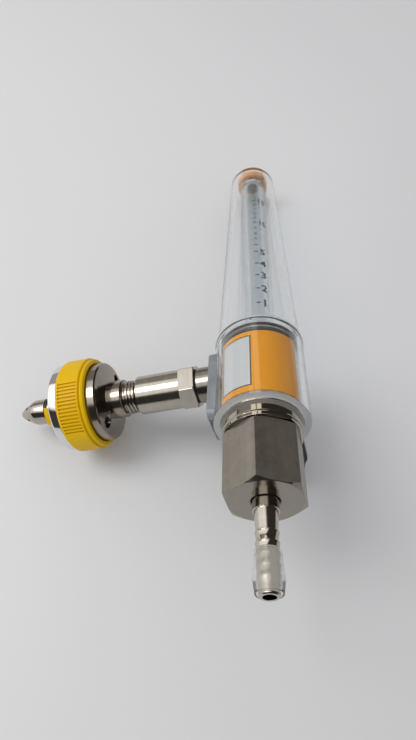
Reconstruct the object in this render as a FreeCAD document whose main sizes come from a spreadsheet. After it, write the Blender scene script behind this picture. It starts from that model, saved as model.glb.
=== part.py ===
"""Medical air flowmeter with a plug-in probe, a clear tapered flow tube and a barbed outlet.

Sizes are in millimetres. The frame's origin is the centre of the probe's sealing land,
+Y points into the wall socket and +Z up along the flow tube. Each piece is drawn about
the point where the tube's axis meets the inlet's axis, and is then moved back by reach.
"""
import FreeCAD, Part
import math
import os
import re
import Sketcher

# Driving sizes, each written once
SIZES = {
    # where the axes lie
    "outlet_drop": 50.6,
    "valve_drop": 8.1,
    # valve body
    "core_radius": 13.6,
    "collar_set_in": 0.2,
    "collar_height": 4.4,
    "step_set_in": 0.5,
    "step_height": 1.4,
    "spigot_radius": 7.14,
    "passage_radius": 2.0,
    "socket_depth": 4.8,
    "return_radius": 1.1,
    "return_offset": 10.2,
    "return_lean": 12.3,
    "thread_gap": 0.1,
    # seals
    "body_seal_cord": 0.7,
    "upper_seal_drop": 1.5,
    "seal_spacing": 2.6,
    "seal_gap": 0.05,
    "groove_room": 0.1,
    "small_cord": 0.55,
    # clear cover
    "cover_gap": 0.7,
    "sleeve_wall": 1.7,
    "rim_lip": 0.5,
    "rim_height": 2.0,
    "shroud_set_in": 0.75,
    "shroud_top_radius": 10.9,
    "shroud_height": 124.2,
    "shroud_wall": 2.0,
    "shroud_end_wall": 1.6,
    "shroud_end_round": 1.7,
    "pad_stand": 1.0,
    "pad_half_width": 8.0,
    "pad_bottom_gap": 1.2,
    "pad_above_axis": 8.4,
    "pad_round": 3.0,
    "hole_gap": 0.2,
    # label
    "label_thickness": 0.15,
    "label_height": 27.8,
    "label_lift": 2.5,
    "label_margin": 0.4,
    "label_start": 130.0,
    "label_sweep": 116.0,
    # flow tube and float
    "tube_radius": 6.2,
    "tube_bore_low": 2.48,
    "tube_bore_high": 3.3,
    "tube_gap": 0.1,
    "ball_radius": 2.38,
    "ball_gap": 0.03,
    "stop_thickness": 1.2,
    "rest_length": 5.9,
    "stop_hole": 1.2,
    "end_pad_radius": 7.6,
    "end_pad_height": 3.4,
    "end_pad_slot": 1.2,
    # outlet nut, nipple and hose sleeve
    "nut_flats": 23.0,
    "nut_height": 22.6,
    "nut_floor": 5.0,
    "nut_face_radius": 11.1,
    "nut_chamfer": 0.9,
    "nut_bore": 4.35,
    "nipple_neck": 4.05,
    "nipple_neck_out": 3.2,
    "nipple_head": 6.6,
    "nipple_head_height": 3.8,
    "nipple_shoulder": 3.65,
    "nipple_stem": 3.15,
    "nipple_stem_length": 6.5,
    "barb_radius": 3.5,
    "barb_pitch": 3.2,
    "barb_land": 0.5,
    "tip_length": 1.9,
    "tip_radius": 2.9,
    "nipple_bore": 1.9,
    "washer_height": 0.6,
    "hose_bore": 3.6,
    "hose_start": 15.0,
    "hose_length": 11.8,
    "hose_wall": 0.4,
    "hose_bulge": 4.5,
    "hose_bulge_at": 8.0,
    # inlet stub, coupler and filter
    "stub_radius": 6.45,
    "stub_thread": 4.9,
    "stub_sunk": 1.1,
    "stub_root": 4.5,
    "stub_out": 5.2,
    "stub_spigot": 6.4,
    "stub_bore": 1.8,
    "ring_washer_height": 0.5,
    "coupler_flats": 14.5,
    "coupler_hex_height": 5.8,
    "coupler_radius": 7.1,
    "coupler_length": 22.8,
    "coupler_chamfer": 0.9,
    "coupler_turn": -133.0,
    "filter_length": 7.4,
    "filter_wall": 1.5,
    # probe body
    "probe_thread": 4.9,
    "neck_radius": 5.9,
    "neck_length": 2.9,
    "neck_cone": 2.5,
    "hub_radius": 7.0,
    "hub_length": 5.3,
    "disc_radius": 14.5,
    "disc_dish": 1.1,
    "disc_chamfer": 0.5,
    "disc_thickness": 10.9,
    "screw_circle": 10.5,
    "screw_head": 2.0,
    "screw_head_height": 2.4,
    "screw_shank": 1.1,
    "screw_sunk": 0.6,
    "screw_socket": 0.85,
    "screw_socket_turn": 30.0,
    # grip ring, bezel and clip
    "grip_radius": 17.2,
    "grip_length": 10.6,
    "grip_start": 3.3,
    "grip_bead_radius": 16.6,
    "grip_bead_length": 1.6,
    "grip_mouth": 0.35,
    "turn_gap": 0.08,
    "rib_groove_depth": 0.5,
    "rib_groove_width": 0.62,
    "rib_zone_length": 7.8,
    "rib_zone_sweep": 61.0,
    "rib_zone_turn": -136.0,
    "bezel_radius": 16.3,
    "bezel_length": 3.4,
    "bezel_bore": 12.4,
    "bezel_skirt": 2.4,
    "bezel_skirt_wall": 1.8,
    "bezel_round": 0.7,
    "clip_wire": 0.5,
    "clip_set_back": 2.2,
    "clip_play": 0.3,
    # index plate and probe pin
    "plate_radius": 12.0,
    "plate_thickness": 2.2,
    "key_inner": 5.3,
    "key_outer": 8.2,
    "key_length": 10.2,
    "key_turn": -121.0,
    "key_sweep": 48.0,
    "pin_radius": 4.8,
    "pin_root": 3.4,
    "pin_root_length": 6.2,
    "pin_shank": 13.0,
    "pin_groove_length": 1.6,
    "pin_groove_radius": 3.85,
    "pin_land": 4.4,
    "nose_length": 7.0,
    "nose_tip": 1.3,
    "pin_bore": 1.3,
    "port_radius": 0.65,
    "port_set_back": 3.4,
    # control valve
    "bonnet_thread": 4.2,
    "bonnet_root": 8.6,
    "bonnet_sunk": 1.2,
    "bonnet_flange": 6.0,
    "bonnet_flange_out": 1.6,
    "bonnet_nose": 5.0,
    "bonnet_nose_length": 1.6,
    "chamber_radius": 3.2,
    "seat_at": 4.2,
    "seat_hole": 1.3,
    "seat_gap": 0.05,
    "disc_seal_radius": 2.4,
    "disc_seal_height": 2.2,
    "swivel_radius": 0.9,
    "spindle_radius": 1.85,
    "spindle_gap": 0.05,
    "spindle_set_back": 5.0,
    "gland_radius": 3.0,
    "knob_radius": 10.2,
    "knob_clearance": 1.4,
    "knob_length": 19.4,
    "knob_wall": 1.7,
    "knob_face": 3.6,
    "knob_hub": 3.8,
    "knob_flute": 2.6,
    "knob_flute_sunk": 1.1,
    "knob_chamfer": 0.8,
    "knob_screw_head": 2.6,
    "knob_screw_height": 1.4,
    "knob_screw_shank": 1.0,
    "knob_screw_length": 6.0,
}

# How many of each
BARBS = 5
RIB_COUNT = 15
RIB_ZONES = 3
KNOB_FLUTES = 9
PROBE_PORTS = 4
END_PAD_SLOTS = 3

# Places and radii worked out from the sizes
PLACES = {
    "reach": "land_start + pin_land / 2",
    "collar_radius": "core_radius - collar_set_in",
    "step_radius": "collar_radius - step_set_in",
    "sleeve_bore": "core_radius + cover_gap",
    "sleeve_radius": "sleeve_bore + sleeve_wall",
    "rim_radius": "sleeve_radius + rim_lip",
    "shroud_foot_radius": "sleeve_radius - shroud_set_in",
    "pad_reach": "sleeve_radius + pad_stand",
    "stub_seat": "core_radius - stub_sunk",
    "stub_end": "pad_reach + stub_out",
    "bonnet_seat": "core_radius - bonnet_sunk",
    "bonnet_flange_end": "pad_reach + bonnet_flange_out",
    "bonnet_end": "bonnet_flange_end + bonnet_nose_length",
    "knob_start": "bonnet_end + knob_clearance",
    "knob_end": "knob_start + knob_length",
    "spindle_end": "knob_end - spindle_set_back",
    "label_bottom": "core_bottom + label_lift",
    "label_top": "label_bottom + label_height",
    "core_height": "label_top + label_margin + groove_room + body_seal_cord + seal_spacing + upper_seal_drop - core_bottom",
    "nut_bottom": "-outlet_drop",
    "nut_top": "nut_bottom + nut_height",
    "spigot_length": "nut_height - nut_floor - nipple_head_height - washer_height",
    "collar_bottom": "nut_top + step_height",
    "core_bottom": "collar_bottom + collar_height",
    "core_top": "core_bottom + core_height",
    "spigot_bottom": "nut_top - spigot_length",
    "socket_floor": "core_top - socket_depth",
    "upper_seal": "core_top - upper_seal_drop",
    "lower_seal": "upper_seal - seal_spacing",
    "body_seal_radius": "sleeve_bore - seal_gap - body_seal_cord",
    "body_groove": "body_seal_radius - body_seal_cord - seal_gap",
    "shroud_foot": "core_top + rim_height",
    "shroud_end": "shroud_foot + shroud_height - rim_height",
    "shroud_roof": "shroud_end - shroud_end_wall",
    "tube_top": "shroud_roof - end_pad_height",
    "stop_bottom": "tube_top - stop_thickness",
    "ball_height": "stop_bottom - ball_radius - ball_gap",
    "tube_seal": "socket_floor + socket_depth / 2",
    "tube_seal_radius": "tube_radius + small_cord + seal_gap / 2",
    "nipple_seat": "nut_bottom + nut_floor",
    "nipple_top": "nipple_seat + nipple_head_height",
    "barbs_top": "nut_bottom - nipple_neck_out - nipple_stem_length",
    "barbs_end": f"barbs_top - {BARBS} * barb_pitch",
    "nipple_tip": "barbs_end - tip_length",
    "hose_top": "nut_bottom - hose_start",
    "hose_end": "hose_top - hose_length",
    "hex_start": "stub_end + ring_washer_height",
    "hex_end": "hex_start + coupler_hex_height",
    "coupler_end": "hex_start + coupler_length",
    "filter_start": "stub_end + stub_spigot + 1",
    "filter_end": "filter_start + filter_length",
    "neck_end": "coupler_end + neck_length",
    "hub_start": "neck_end + neck_cone",
    "hub_end": "hub_start + hub_length",
    "disc_front": "hub_end + disc_dish + disc_thickness",
    "screw_seat": "disc_front - disc_thickness + screw_sunk + screw_head_height",
    "screw_end": "disc_front + plate_thickness - 0.6",
    "grip_rear": "hub_end + disc_dish + grip_start",
    "grip_front": "grip_rear + grip_length",
    "grip_bore": "disc_radius + turn_gap",
    "band_start": "grip_rear + grip_bead_length",
    "bezel_rear": "grip_front - bezel_skirt",
    "bezel_front": "grip_front + bezel_length",
    "skirt_radius": "grip_bore + bezel_skirt_wall / 2",
    "clip_at": "disc_front - clip_set_back",
    "clip_radius": "disc_radius - clip_wire / 2",
    "plate_front": "disc_front + plate_thickness",
    "shank_end": "disc_front + pin_shank",
    "land_start": "shank_end + pin_groove_length",
    "land_end": "land_start + pin_land",
    "pin_tip": "land_end + nose_length",
    "pin_seal_radius": "pin_groove_radius + small_cord + seal_gap",
    "seal_face": "seat_at + seat_gap",
    "seal_back": "seal_face + disc_seal_height",
    "spindle_start": "seal_back + seat_gap",
    "gland_end": "bonnet_seat",
    "spindle_seal_at": "gland_end - small_cord - seal_gap",
    "spindle_seal_radius": "spindle_radius + small_cord + spindle_gap",
    "bonnet_seal_at": "bonnet_seat - small_cord - seal_gap",
    "bonnet_seal_radius": "bonnet_thread + small_cord + thread_gap",
    "inlet_seal_at": "stub_seat - small_cord - seal_gap",
    "inlet_seal_radius": "stub_thread + small_cord + thread_gap",
    "knob_roof": "knob_end - knob_face",
    "knob_screw_seat": "knob_end - knob_screw_height - 0.4",
}

WORD = re.compile(r"[a-z][a-z_]+")
doc = FreeCAD.newDocument("air_flowmeter")
sheet = doc.addObject("Spreadsheet::Sheet", "dim")
for row, (alias, size) in enumerate(SIZES.items(), 1):
    sheet.set(f"A{row}", alias)
    sheet.set(f"B{row}", str(size))
    sheet.setAlias(f"B{row}", alias)
doc.recompute()


def ex(text):
    """Spell out a size or place as an expression on the sheet's cells."""

    def spell(match):
        word = match.group()
        if word in PLACES:
            return "(" + ex(PLACES[word]) + ")"
        return "dim." + word if word in SIZES else word

    return WORD.sub(spell, str(text))


def number(text):
    """Value of an expression, for a sketch's first drawing."""
    return float(sheet.evalExpression(ex(text)))


def new_body(name, lift="0", turn=0.0):
    """Empty body on the tube's axis, lift above the inlet's axis."""
    body = doc.addObject("PartDesign::Body", name)
    body.Placement = FreeCAD.Placement(FreeCAD.Vector(), FreeCAD.Rotation(FreeCAD.Vector(0, 0, 1), turn))
    body.setExpression("Placement.Base.y", ex("-reach"))
    body.setExpression("Placement.Base.z", ex(lift))
    return body


def draw_on(body, name, plane, offset="0"):
    """Sketch on one of the body's own planes, moved along its normal by offset."""
    face = next(part for part in body.Origin.OriginFeatures if part.Role == plane)
    sketch = body.newObject("Sketcher::SketchObject", name)
    sketch.AttachmentSupport = [(face, "")]
    sketch.MapMode = "FlatFace"
    sketch.setExpression("AttachmentOffset.Base.z", ex(offset))
    return sketch


def hold(sketch, kind, geometry, end, text):
    """Tie one coordinate of a drawn point to the sheet."""
    rule = Sketcher.Constraint(kind, -1, 1, geometry, end, number(text))
    index = sketch.addConstraint(rule)
    sketch.setExpression(f"Constraints[{index}]", ex(text))


def outline(sketch, corners):
    """Closed straight-sided outline, each corner tied to the sheet."""
    first = sketch.GeometryCount
    count = len(corners)
    spots = [FreeCAD.Vector(number(x), number(y), 0) for x, y in corners]
    for i in range(count):
        sketch.addGeometry(Part.LineSegment(spots[i], spots[(i + 1) % count]), False)
    for i in range(count):
        sketch.addConstraint(Sketcher.Constraint("Coincident", first + i, 2, first + (i + 1) % count, 1))
    for i, (x, y) in enumerate(corners):
        hold(sketch, "DistanceX", first + i, 1, x)
        hold(sketch, "DistanceY", first + i, 1, y)


def circle(sketch, x, y, radius):
    """Circle whose centre and radius are tied to the sheet."""
    index = sketch.GeometryCount
    centre = FreeCAD.Vector(number(x), number(y), 0)
    sketch.addGeometry(Part.Circle(centre, FreeCAD.Vector(0, 0, 1), number(radius)), False)
    hold(sketch, "DistanceX", index, 3, x)
    hold(sketch, "DistanceY", index, 3, y)
    rule = sketch.addConstraint(Sketcher.Constraint("Radius", index, number(radius)))
    sketch.setExpression(f"Constraints[{rule}]", ex(radius))


def turned(body, name, corners, axis="Z", cut=False, sweep="360"):
    """Revolve an outline: (radius, height) about Z, (station, radius) about Y or X."""
    plane, line = {"Z": ("XZ_Plane", "V_Axis"), "Y": ("YZ_Plane", "H_Axis"), "X": ("XZ_Plane", "H_Axis")}[axis]
    sketch = draw_on(body, name + "_profile", plane)
    outline(sketch, corners)
    made = body.newObject("PartDesign::Groove" if cut else "PartDesign::Revolution", name)
    made.Profile = sketch
    made.ReferenceAxis = (sketch, [line])
    made.setExpression("Angle", ex(sweep))
    body.Tip = made
    return made


def pushed(body, name, sketch, length, cut=False, back=False):
    """Pad or pocket of a sketch; back turns its direction round."""
    made = body.newObject("PartDesign::Pocket" if cut else "PartDesign::Pad", name)
    made.Profile = sketch
    made.setExpression("Length", ex(length))
    made.Reversed = back
    body.Tip = made
    return made


def drilled(body, name, plane, start, x, y, radius, depth, back=False):
    """Round hole from a plane at start, depth deep."""
    sketch = draw_on(body, name + "_place", plane, start)
    circle(sketch, x, y, radius)
    return pushed(body, name, sketch, depth, cut=True, back=back)


def hexagon(sketch, flats, turn):
    """Hexagon about the sketch's origin, one corner at turn degrees."""
    corners = [
        (f"{flats} / sqrt(3) * cos({turn + 60 * i})", f"{flats} / sqrt(3) * sin({turn + 60 * i})")
        for i in range(6)
    ]
    outline(sketch, corners)


def repeated(body, name, made, sketch, count, sweep=360.0):
    """Polar pattern of a feature about its sketch's normal."""
    pattern = body.newObject("PartDesign::PolarPattern", name)
    pattern.Originals = [made]
    pattern.Axis = (sketch, ["N_Axis"])
    pattern.Angle = sweep
    pattern.Occurrences = count
    body.Tip = pattern
    return pattern


def rounded(body, name, base, radius, wanted):
    """Fillet the edges of the base feature for which wanted(edge) is true."""
    doc.recompute()
    names = [f"Edge{i}" for i, edge in enumerate(base.Shape.Edges, 1) if wanted(edge)]
    made = body.newObject("PartDesign::Fillet", name)
    made.Base = (base, names)
    made.setExpression("Radius", ex(radius))
    body.Tip = made
    return made


def ring_seal(name, axis, station, centre_radius, cord, lift="0"):
    """O-ring: a torus about one of the three axes."""
    seal = doc.addObject("Part::Torus", name)
    seal.setExpression("Radius1", ex(centre_radius))
    seal.setExpression("Radius2", ex(cord))
    turns = {"Z": (1, 0, 0, 0), "Y": (1, 0, 0, -90), "X": (0, 1, 0, 90)}
    x, y, z, angle = turns[axis]
    seal.Placement = FreeCAD.Placement(FreeCAD.Vector(), FreeCAD.Rotation(FreeCAD.Vector(x, y, z), angle))
    if axis == "X":
        seal.setExpression("Placement.Base.x", ex(station))
        seal.setExpression("Placement.Base.y", ex("-reach"))
        seal.setExpression("Placement.Base.z", ex(lift))
    elif axis == "Y":
        seal.setExpression("Placement.Base.y", ex(f"{station} - reach"))
        seal.setExpression("Placement.Base.z", ex(lift))
    else:
        seal.setExpression("Placement.Base.y", ex("-reach"))
        seal.setExpression("Placement.Base.z", ex(station))
    return seal


nodes = {}


# Valve body: one plated brass turning with its collar, outlet spigot and drilled passages
body = new_body("valve_body")
turned(body, "body_turning", [
    ("0", "spigot_bottom"),
    ("spigot_radius", "spigot_bottom"),
    ("spigot_radius", "nut_top"),
    ("step_radius", "nut_top"),
    ("step_radius", "collar_bottom"),
    ("collar_radius", "collar_bottom"),
    ("collar_radius", "core_bottom"),
    ("core_radius", "core_bottom"),
    ("core_radius", "lower_seal - body_seal_cord - groove_room"),
    ("body_groove", "lower_seal - body_seal_cord - groove_room"),
    ("body_groove", "lower_seal + body_seal_cord + groove_room"),
    ("core_radius", "lower_seal + body_seal_cord + groove_room"),
    ("core_radius", "upper_seal - body_seal_cord - groove_room"),
    ("body_groove", "upper_seal - body_seal_cord - groove_room"),
    ("body_groove", "upper_seal + body_seal_cord + groove_room"),
    ("core_radius", "upper_seal + body_seal_cord + groove_room"),
    ("core_radius", "core_top"),
    ("0", "core_top"),
])
turned(body, "tube_socket", [
    ("0", "socket_floor"),
    ("tube_radius + tube_gap", "socket_floor"),
    ("tube_radius + tube_gap", "tube_seal - small_cord - groove_room"),
    ("tube_seal_radius + small_cord + seal_gap", "tube_seal - small_cord - groove_room"),
    ("tube_seal_radius + small_cord + seal_gap", "tube_seal + small_cord + groove_room"),
    ("tube_radius + tube_gap", "tube_seal + small_cord + groove_room"),
    ("tube_radius + tube_gap", "core_top + 1"),
    ("0", "core_top + 1"),
], cut=True)
drilled(body, "rising_passage", "XY_Plane", "socket_floor + 0.5", "0", "0", "passage_radius", "socket_floor + 0.5")
turned(body, "inlet_port", [
    ("0", "0"),
    ("0", "passage_radius"),
    ("stub_root - 1", "passage_radius"),
    ("stub_root - 1", "stub_thread + thread_gap"),
    ("inlet_seal_at - small_cord - seal_gap", "stub_thread + thread_gap"),
    ("inlet_seal_at - small_cord - seal_gap", "inlet_seal_radius + small_cord + seal_gap"),
    ("stub_seat", "inlet_seal_radius + small_cord + seal_gap"),
    ("stub_seat", "stub_radius + thread_gap"),
    ("core_radius + 1", "stub_radius + thread_gap"),
    ("core_radius + 1", "0"),
], axis="Y", cut=True)
drilled(body, "outlet_passage", "XY_Plane", "-valve_drop", "0", "0", "passage_radius", "outlet_drop")
valve_sketch = draw_on(body, "valve_port_profile", "XZ_Plane")
outline(valve_sketch, [
    ("0", "-valve_drop"),
    ("0", "seat_hole - valve_drop"),
    ("seat_at", "seat_hole - valve_drop"),
    ("seat_at", "chamber_radius - valve_drop"),
    ("bonnet_root - 1", "chamber_radius - valve_drop"),
    ("bonnet_root - 1", "bonnet_thread + thread_gap - valve_drop"),
    ("bonnet_seal_at - small_cord - seal_gap", "bonnet_thread + thread_gap - valve_drop"),
    ("bonnet_seal_at - small_cord - seal_gap", "bonnet_seal_radius + small_cord + seal_gap - valve_drop"),
    ("bonnet_seat", "bonnet_seal_radius + small_cord + seal_gap - valve_drop"),
    ("bonnet_seat", "bonnet_flange + thread_gap - valve_drop"),
    ("core_radius + 1", "bonnet_flange + thread_gap - valve_drop"),
    ("core_radius + 1", "-valve_drop"),
])
port = body.newObject("PartDesign::Groove", "valve_port")
port.Profile = valve_sketch
port.ReferenceAxis = (valve_sketch, ["Edge12"])
port.Angle = 360
body.Tip = port
lean = body.newObject("PartDesign::SubtractiveCylinder", "return_passage")
lean.AttachmentSupport = [(next(f for f in body.Origin.OriginFeatures if f.Role == "XY_Plane"), "")]
lean.MapMode = "FlatFace"
lean.AttachmentOffset = FreeCAD.Placement(
    FreeCAD.Vector(), FreeCAD.Rotation(FreeCAD.Vector(0, 1, 0), 180 + SIZES["return_lean"])
)
lean.setExpression("AttachmentOffset.Base.x", ex("return_offset + 1 * tan(return_lean)"))
lean.setExpression("AttachmentOffset.Base.z", ex("core_top + 1"))
lean.setExpression("Radius", ex("return_radius"))
lean.setExpression("Height", ex("(core_top + valve_drop - 1) / cos(return_lean)"))
body.Tip = lean
nodes["valve_body"] = body

# Body seals: two black rings that close the space above the body
nodes["upper_body_seal"] = ring_seal(
    "upper_body_seal", "Z", "upper_seal", "body_seal_radius", "body_seal_cord")
nodes["lower_body_seal"] = ring_seal(
    "lower_body_seal", "Z", "lower_seal", "body_seal_radius", "body_seal_cord")

# Clear cover: one moulding of sleeve, shoulder, tapered shroud and two flat pads
cover = new_body("clear_cover")
turned(cover, "cover_outside", [
    ("0", "core_bottom"),
    ("sleeve_radius", "core_bottom"),
    ("sleeve_radius", "core_top - rim_height / 4"),
    ("rim_radius", "core_top"),
    ("rim_radius", "core_top + rim_height * 0.3"),
    ("shroud_foot_radius", "shroud_foot"),
    ("shroud_top_radius", "shroud_end"),
    ("0", "shroud_end"),
])
cover_base = doc.getObject("cover_outside")
rounded(cover, "shroud_end_edge", cover_base, "shroud_end_round",
        lambda edge: abs(edge.BoundBox.ZMin - number("shroud_end")) < 0.01
        and abs(edge.BoundBox.XLength - 2 * number("shroud_top_radius")) < 0.01)
for side, plane, offset, back in (("inlet", "XZ_Plane", "-pad_reach", False), ("valve", "YZ_Plane", "pad_reach", True)):
    top = "pad_above_axis" if side == "inlet" else "pad_above_axis - valve_drop"
    pad_sketch = draw_on(cover, side + "_pad_outline", plane, offset)
    outline(pad_sketch, [
        ("-pad_half_width", "core_bottom + pad_bottom_gap"),
        ("pad_half_width", "core_bottom + pad_bottom_gap"),
        ("pad_half_width", top),
        ("-pad_half_width", top),
    ])
    pad = pushed(cover, side + "_pad", pad_sketch, "pad_reach - core_radius / 2", back=back)
    far = (lambda edge: edge.BoundBox.YMin) if side == "inlet" else (lambda edge: edge.BoundBox.XMin)
    span = (lambda edge: edge.BoundBox.YLength) if side == "inlet" else (lambda edge: edge.BoundBox.XLength)
    reach_to = (lambda edge: edge.BoundBox.YMax) if side == "inlet" else (lambda edge: edge.BoundBox.XMax)
    rounded(cover, side + "_pad_corners", pad, "pad_round",
            lambda edge: len(edge.Vertexes) == 2 and abs(edge.Length - span(edge)) < 1e-6
            and span(edge) > 1 and abs(reach_to(edge) - number("pad_reach")) < 0.01)
turned(cover, "cover_inside", [
    ("0", "core_bottom - 1"),
    ("sleeve_bore", "core_bottom - 1"),
    ("sleeve_bore", "core_top + 0.2"),
    ("shroud_foot_radius - shroud_wall", "shroud_foot"),
    ("shroud_top_radius - shroud_wall", "shroud_roof"),
    ("0", "shroud_roof"),
], cut=True)
drilled(cover, "stub_hole", "XZ_Plane", "-pad_reach - 1", "0", "0", "stub_radius + hole_gap", "pad_reach - 5", back=True)
drilled(cover, "bonnet_hole", "YZ_Plane", "pad_reach + 1", "0", "-valve_drop", "bonnet_flange + hole_gap", "pad_reach - 5")
nodes["clear_cover"] = cover

# Label: a thin amber wrap round the body, seen through the sleeve
label = new_body("label_wrap", turn=SIZES["label_start"])
label.setExpression("Placement.Rotation.Angle", ex("label_start"))
turned(label, "label_sheet", [
    ("core_radius", "label_bottom"),
    ("core_radius + label_thickness", "label_bottom"),
    ("core_radius + label_thickness", "label_top"),
    ("core_radius", "label_top"),
], sweep="label_sweep")
doc.getObject("label_sheet").Reversed = False
nodes["label_wrap"] = label

# Flow tube: clear, thick walled, its bore widening towards the top
tube = new_body("flow_tube")
turned(tube, "tube_turning", [
    ("tube_bore_low", "socket_floor"),
    ("tube_radius", "socket_floor"),
    ("tube_radius", "tube_top"),
    ("tube_bore_high", "tube_top"),
    ("tube_bore_high", "stop_bottom"),
    ("tube_bore_low", "socket_floor + rest_length"),
])
nodes["flow_tube"] = tube
nodes["tube_base_seal"] = ring_seal("tube_base_seal", "Z", "tube_seal", "tube_seal_radius", "small_cord")

# Float, with the pierced plugs that keep it in the bore
ball = doc.addObject("Part::Sphere", "float_ball")
ball.setExpression("Radius", ex("ball_radius"))
ball.setExpression("Placement.Base.y", ex("-reach"))
ball.setExpression("Placement.Base.z", ex("ball_height"))
nodes["float_ball"] = ball
stop = new_body("float_stop")
turned(stop, "stop_turning", [
    ("stop_hole", "stop_bottom"),
    ("tube_bore_high", "stop_bottom"),
    ("tube_bore_high", "tube_top"),
    ("stop_hole", "tube_top"),
])
nodes["float_stop"] = stop
rest = new_body("float_rest")
turned(rest, "rest_turning", [
    ("stop_hole", "socket_floor"),
    ("tube_bore_low", "socket_floor"),
    ("tube_bore_low", "socket_floor + rest_length"),
    ("stop_hole", "socket_floor + rest_length"),
])
nodes["float_rest"] = rest

# End pad: amber cushion between the tube and the shroud's closed end, slotted to let air out
end_pad = new_body("tube_end_pad")
turned(end_pad, "end_pad_turning", [
    ("stop_hole", "tube_top"),
    ("end_pad_radius", "tube_top"),
    ("end_pad_radius", "shroud_roof"),
    ("stop_hole", "shroud_roof"),
])
slot_sketch = draw_on(end_pad, "end_pad_slot_outline", "XY_Plane", "tube_top")
outline(slot_sketch, [
    ("0", "-end_pad_slot / 2"),
    ("end_pad_radius + 1", "-end_pad_slot / 2"),
    ("end_pad_radius + 1", "end_pad_slot / 2"),
    ("0", "end_pad_slot / 2"),
])
slot_cut = pushed(end_pad, "end_pad_slot_cut", slot_sketch, "end_pad_slot", cut=True, back=True)
repeated(end_pad, "end_pad_slots", slot_cut, slot_sketch, END_PAD_SLOTS)
nodes["tube_end_pad"] = end_pad

# Outlet nut: long hexagon with chamfered ends, hollow for the spigot and the nipple's head
nut = new_body("outlet_nut")
hex_sketch = draw_on(nut, "nut_hexagon", "XY_Plane", "nut_bottom")
hexagon(hex_sketch, "nut_flats", 0)
pushed(nut, "nut_bar", hex_sketch, "nut_height")
for end, at, inward in (("lower", "nut_bottom", "+"), ("upper", "nut_top", "-")):
    turned(nut, f"nut_{end}_chamfer", [
        ("nut_face_radius", at),
        ("nut_flats / sqrt(3) + 1", at),
        ("nut_flats / sqrt(3) + 1",
         f"{at} {inward} nut_chamfer * (nut_flats / sqrt(3) + 1 - nut_face_radius) / (nut_flats / sqrt(3) - nut_face_radius)"),
    ], cut=True)
turned(nut, "nut_inside", [
    ("0", "nut_bottom - 1"),
    ("nut_bore", "nut_bottom - 1"),
    ("nut_bore", "nipple_seat"),
    ("spigot_radius + thread_gap", "nipple_seat"),
    ("spigot_radius + thread_gap", "nut_top + 1"),
    ("0", "nut_top + 1"),
], cut=True)
nodes["outlet_nut"] = nut

# Outlet nipple: head held by the nut, tapered shoulder, and barbs for the hose
nipple_profile = [
    ("nipple_bore", "nipple_top"),
    ("nipple_head", "nipple_top"),
    ("nipple_head", "nipple_seat"),
    ("nipple_neck", "nipple_seat"),
    ("nipple_neck", "nut_bottom - nipple_neck_out"),
    ("nipple_shoulder", "nut_bottom - nipple_neck_out"),
    ("nipple_stem", "barbs_top"),
]
for barb in range(BARBS):
    crest = f"barbs_top - {barb} * barb_pitch"
    nipple_profile += [
        ("barb_radius", crest),
        ("barb_radius", f"{crest} - barb_land"),
        ("nipple_stem" if barb < BARBS - 1 else "tip_radius", f"{crest} - barb_pitch"),
    ]
nipple_profile += [("tip_radius", "nipple_tip"), ("nipple_bore", "nipple_tip")]
nipple = new_body("outlet_nipple")
turned(nipple, "nipple_turning", nipple_profile)
nodes["outlet_nipple"] = nipple
washer = new_body("nipple_washer")
turned(washer, "washer_turning", [
    ("nipple_bore + 0.3", "nipple_top"),
    ("nipple_head", "nipple_top"),
    ("nipple_head", "spigot_bottom"),
    ("nipple_bore + 0.3", "spigot_bottom"),
])
nodes["nipple_washer"] = washer

# Hose sleeve: short soft end of hose, swollen where it passes a barb
hose = new_body("hose_sleeve")
turned(hose, "hose_turning", [
    ("hose_bore", "hose_top"),
    ("hose_bore + hose_wall", "hose_top"),
    ("hose_bulge - 0.25", "hose_top - hose_bulge_at + 2.6"),
    ("hose_bulge", "hose_top - hose_bulge_at"),
    ("hose_bulge - 0.3", "hose_top - hose_bulge_at - 1.6"),
    ("hose_bore + hose_wall", "hose_end"),
    ("hose_bore", "hose_end"),
])
nodes["hose_sleeve"] = hose

# Inlet stub: screwed into the body through the cover's pad
stub = new_body("inlet_stub")
turned(stub, "stub_turning", [
    ("stub_root", "stub_bore"),
    ("stub_root", "stub_thread"),
    ("stub_seat", "stub_thread"),
    ("stub_seat", "stub_radius"),
    ("stub_end", "stub_radius"),
    ("stub_end", "stub_thread"),
    ("stub_end + stub_spigot", "stub_thread"),
    ("stub_end + stub_spigot", "stub_bore"),
], axis="Y")
nodes["inlet_stub"] = stub
nodes["inlet_seal"] = ring_seal("inlet_seal", "Y", "inlet_seal_at", "inlet_seal_radius", "small_cord")
ring_washer = new_body("coupler_washer")
turned(ring_washer, "ring_washer_turning", [
    ("stub_end", "stub_thread + thread_gap"),
    ("stub_end", "stub_radius - 0.4"),
    ("hex_start", "stub_radius - 0.4"),
    ("hex_start", "stub_thread + thread_gap"),
], axis="Y")
nodes["coupler_washer"] = ring_washer

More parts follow.
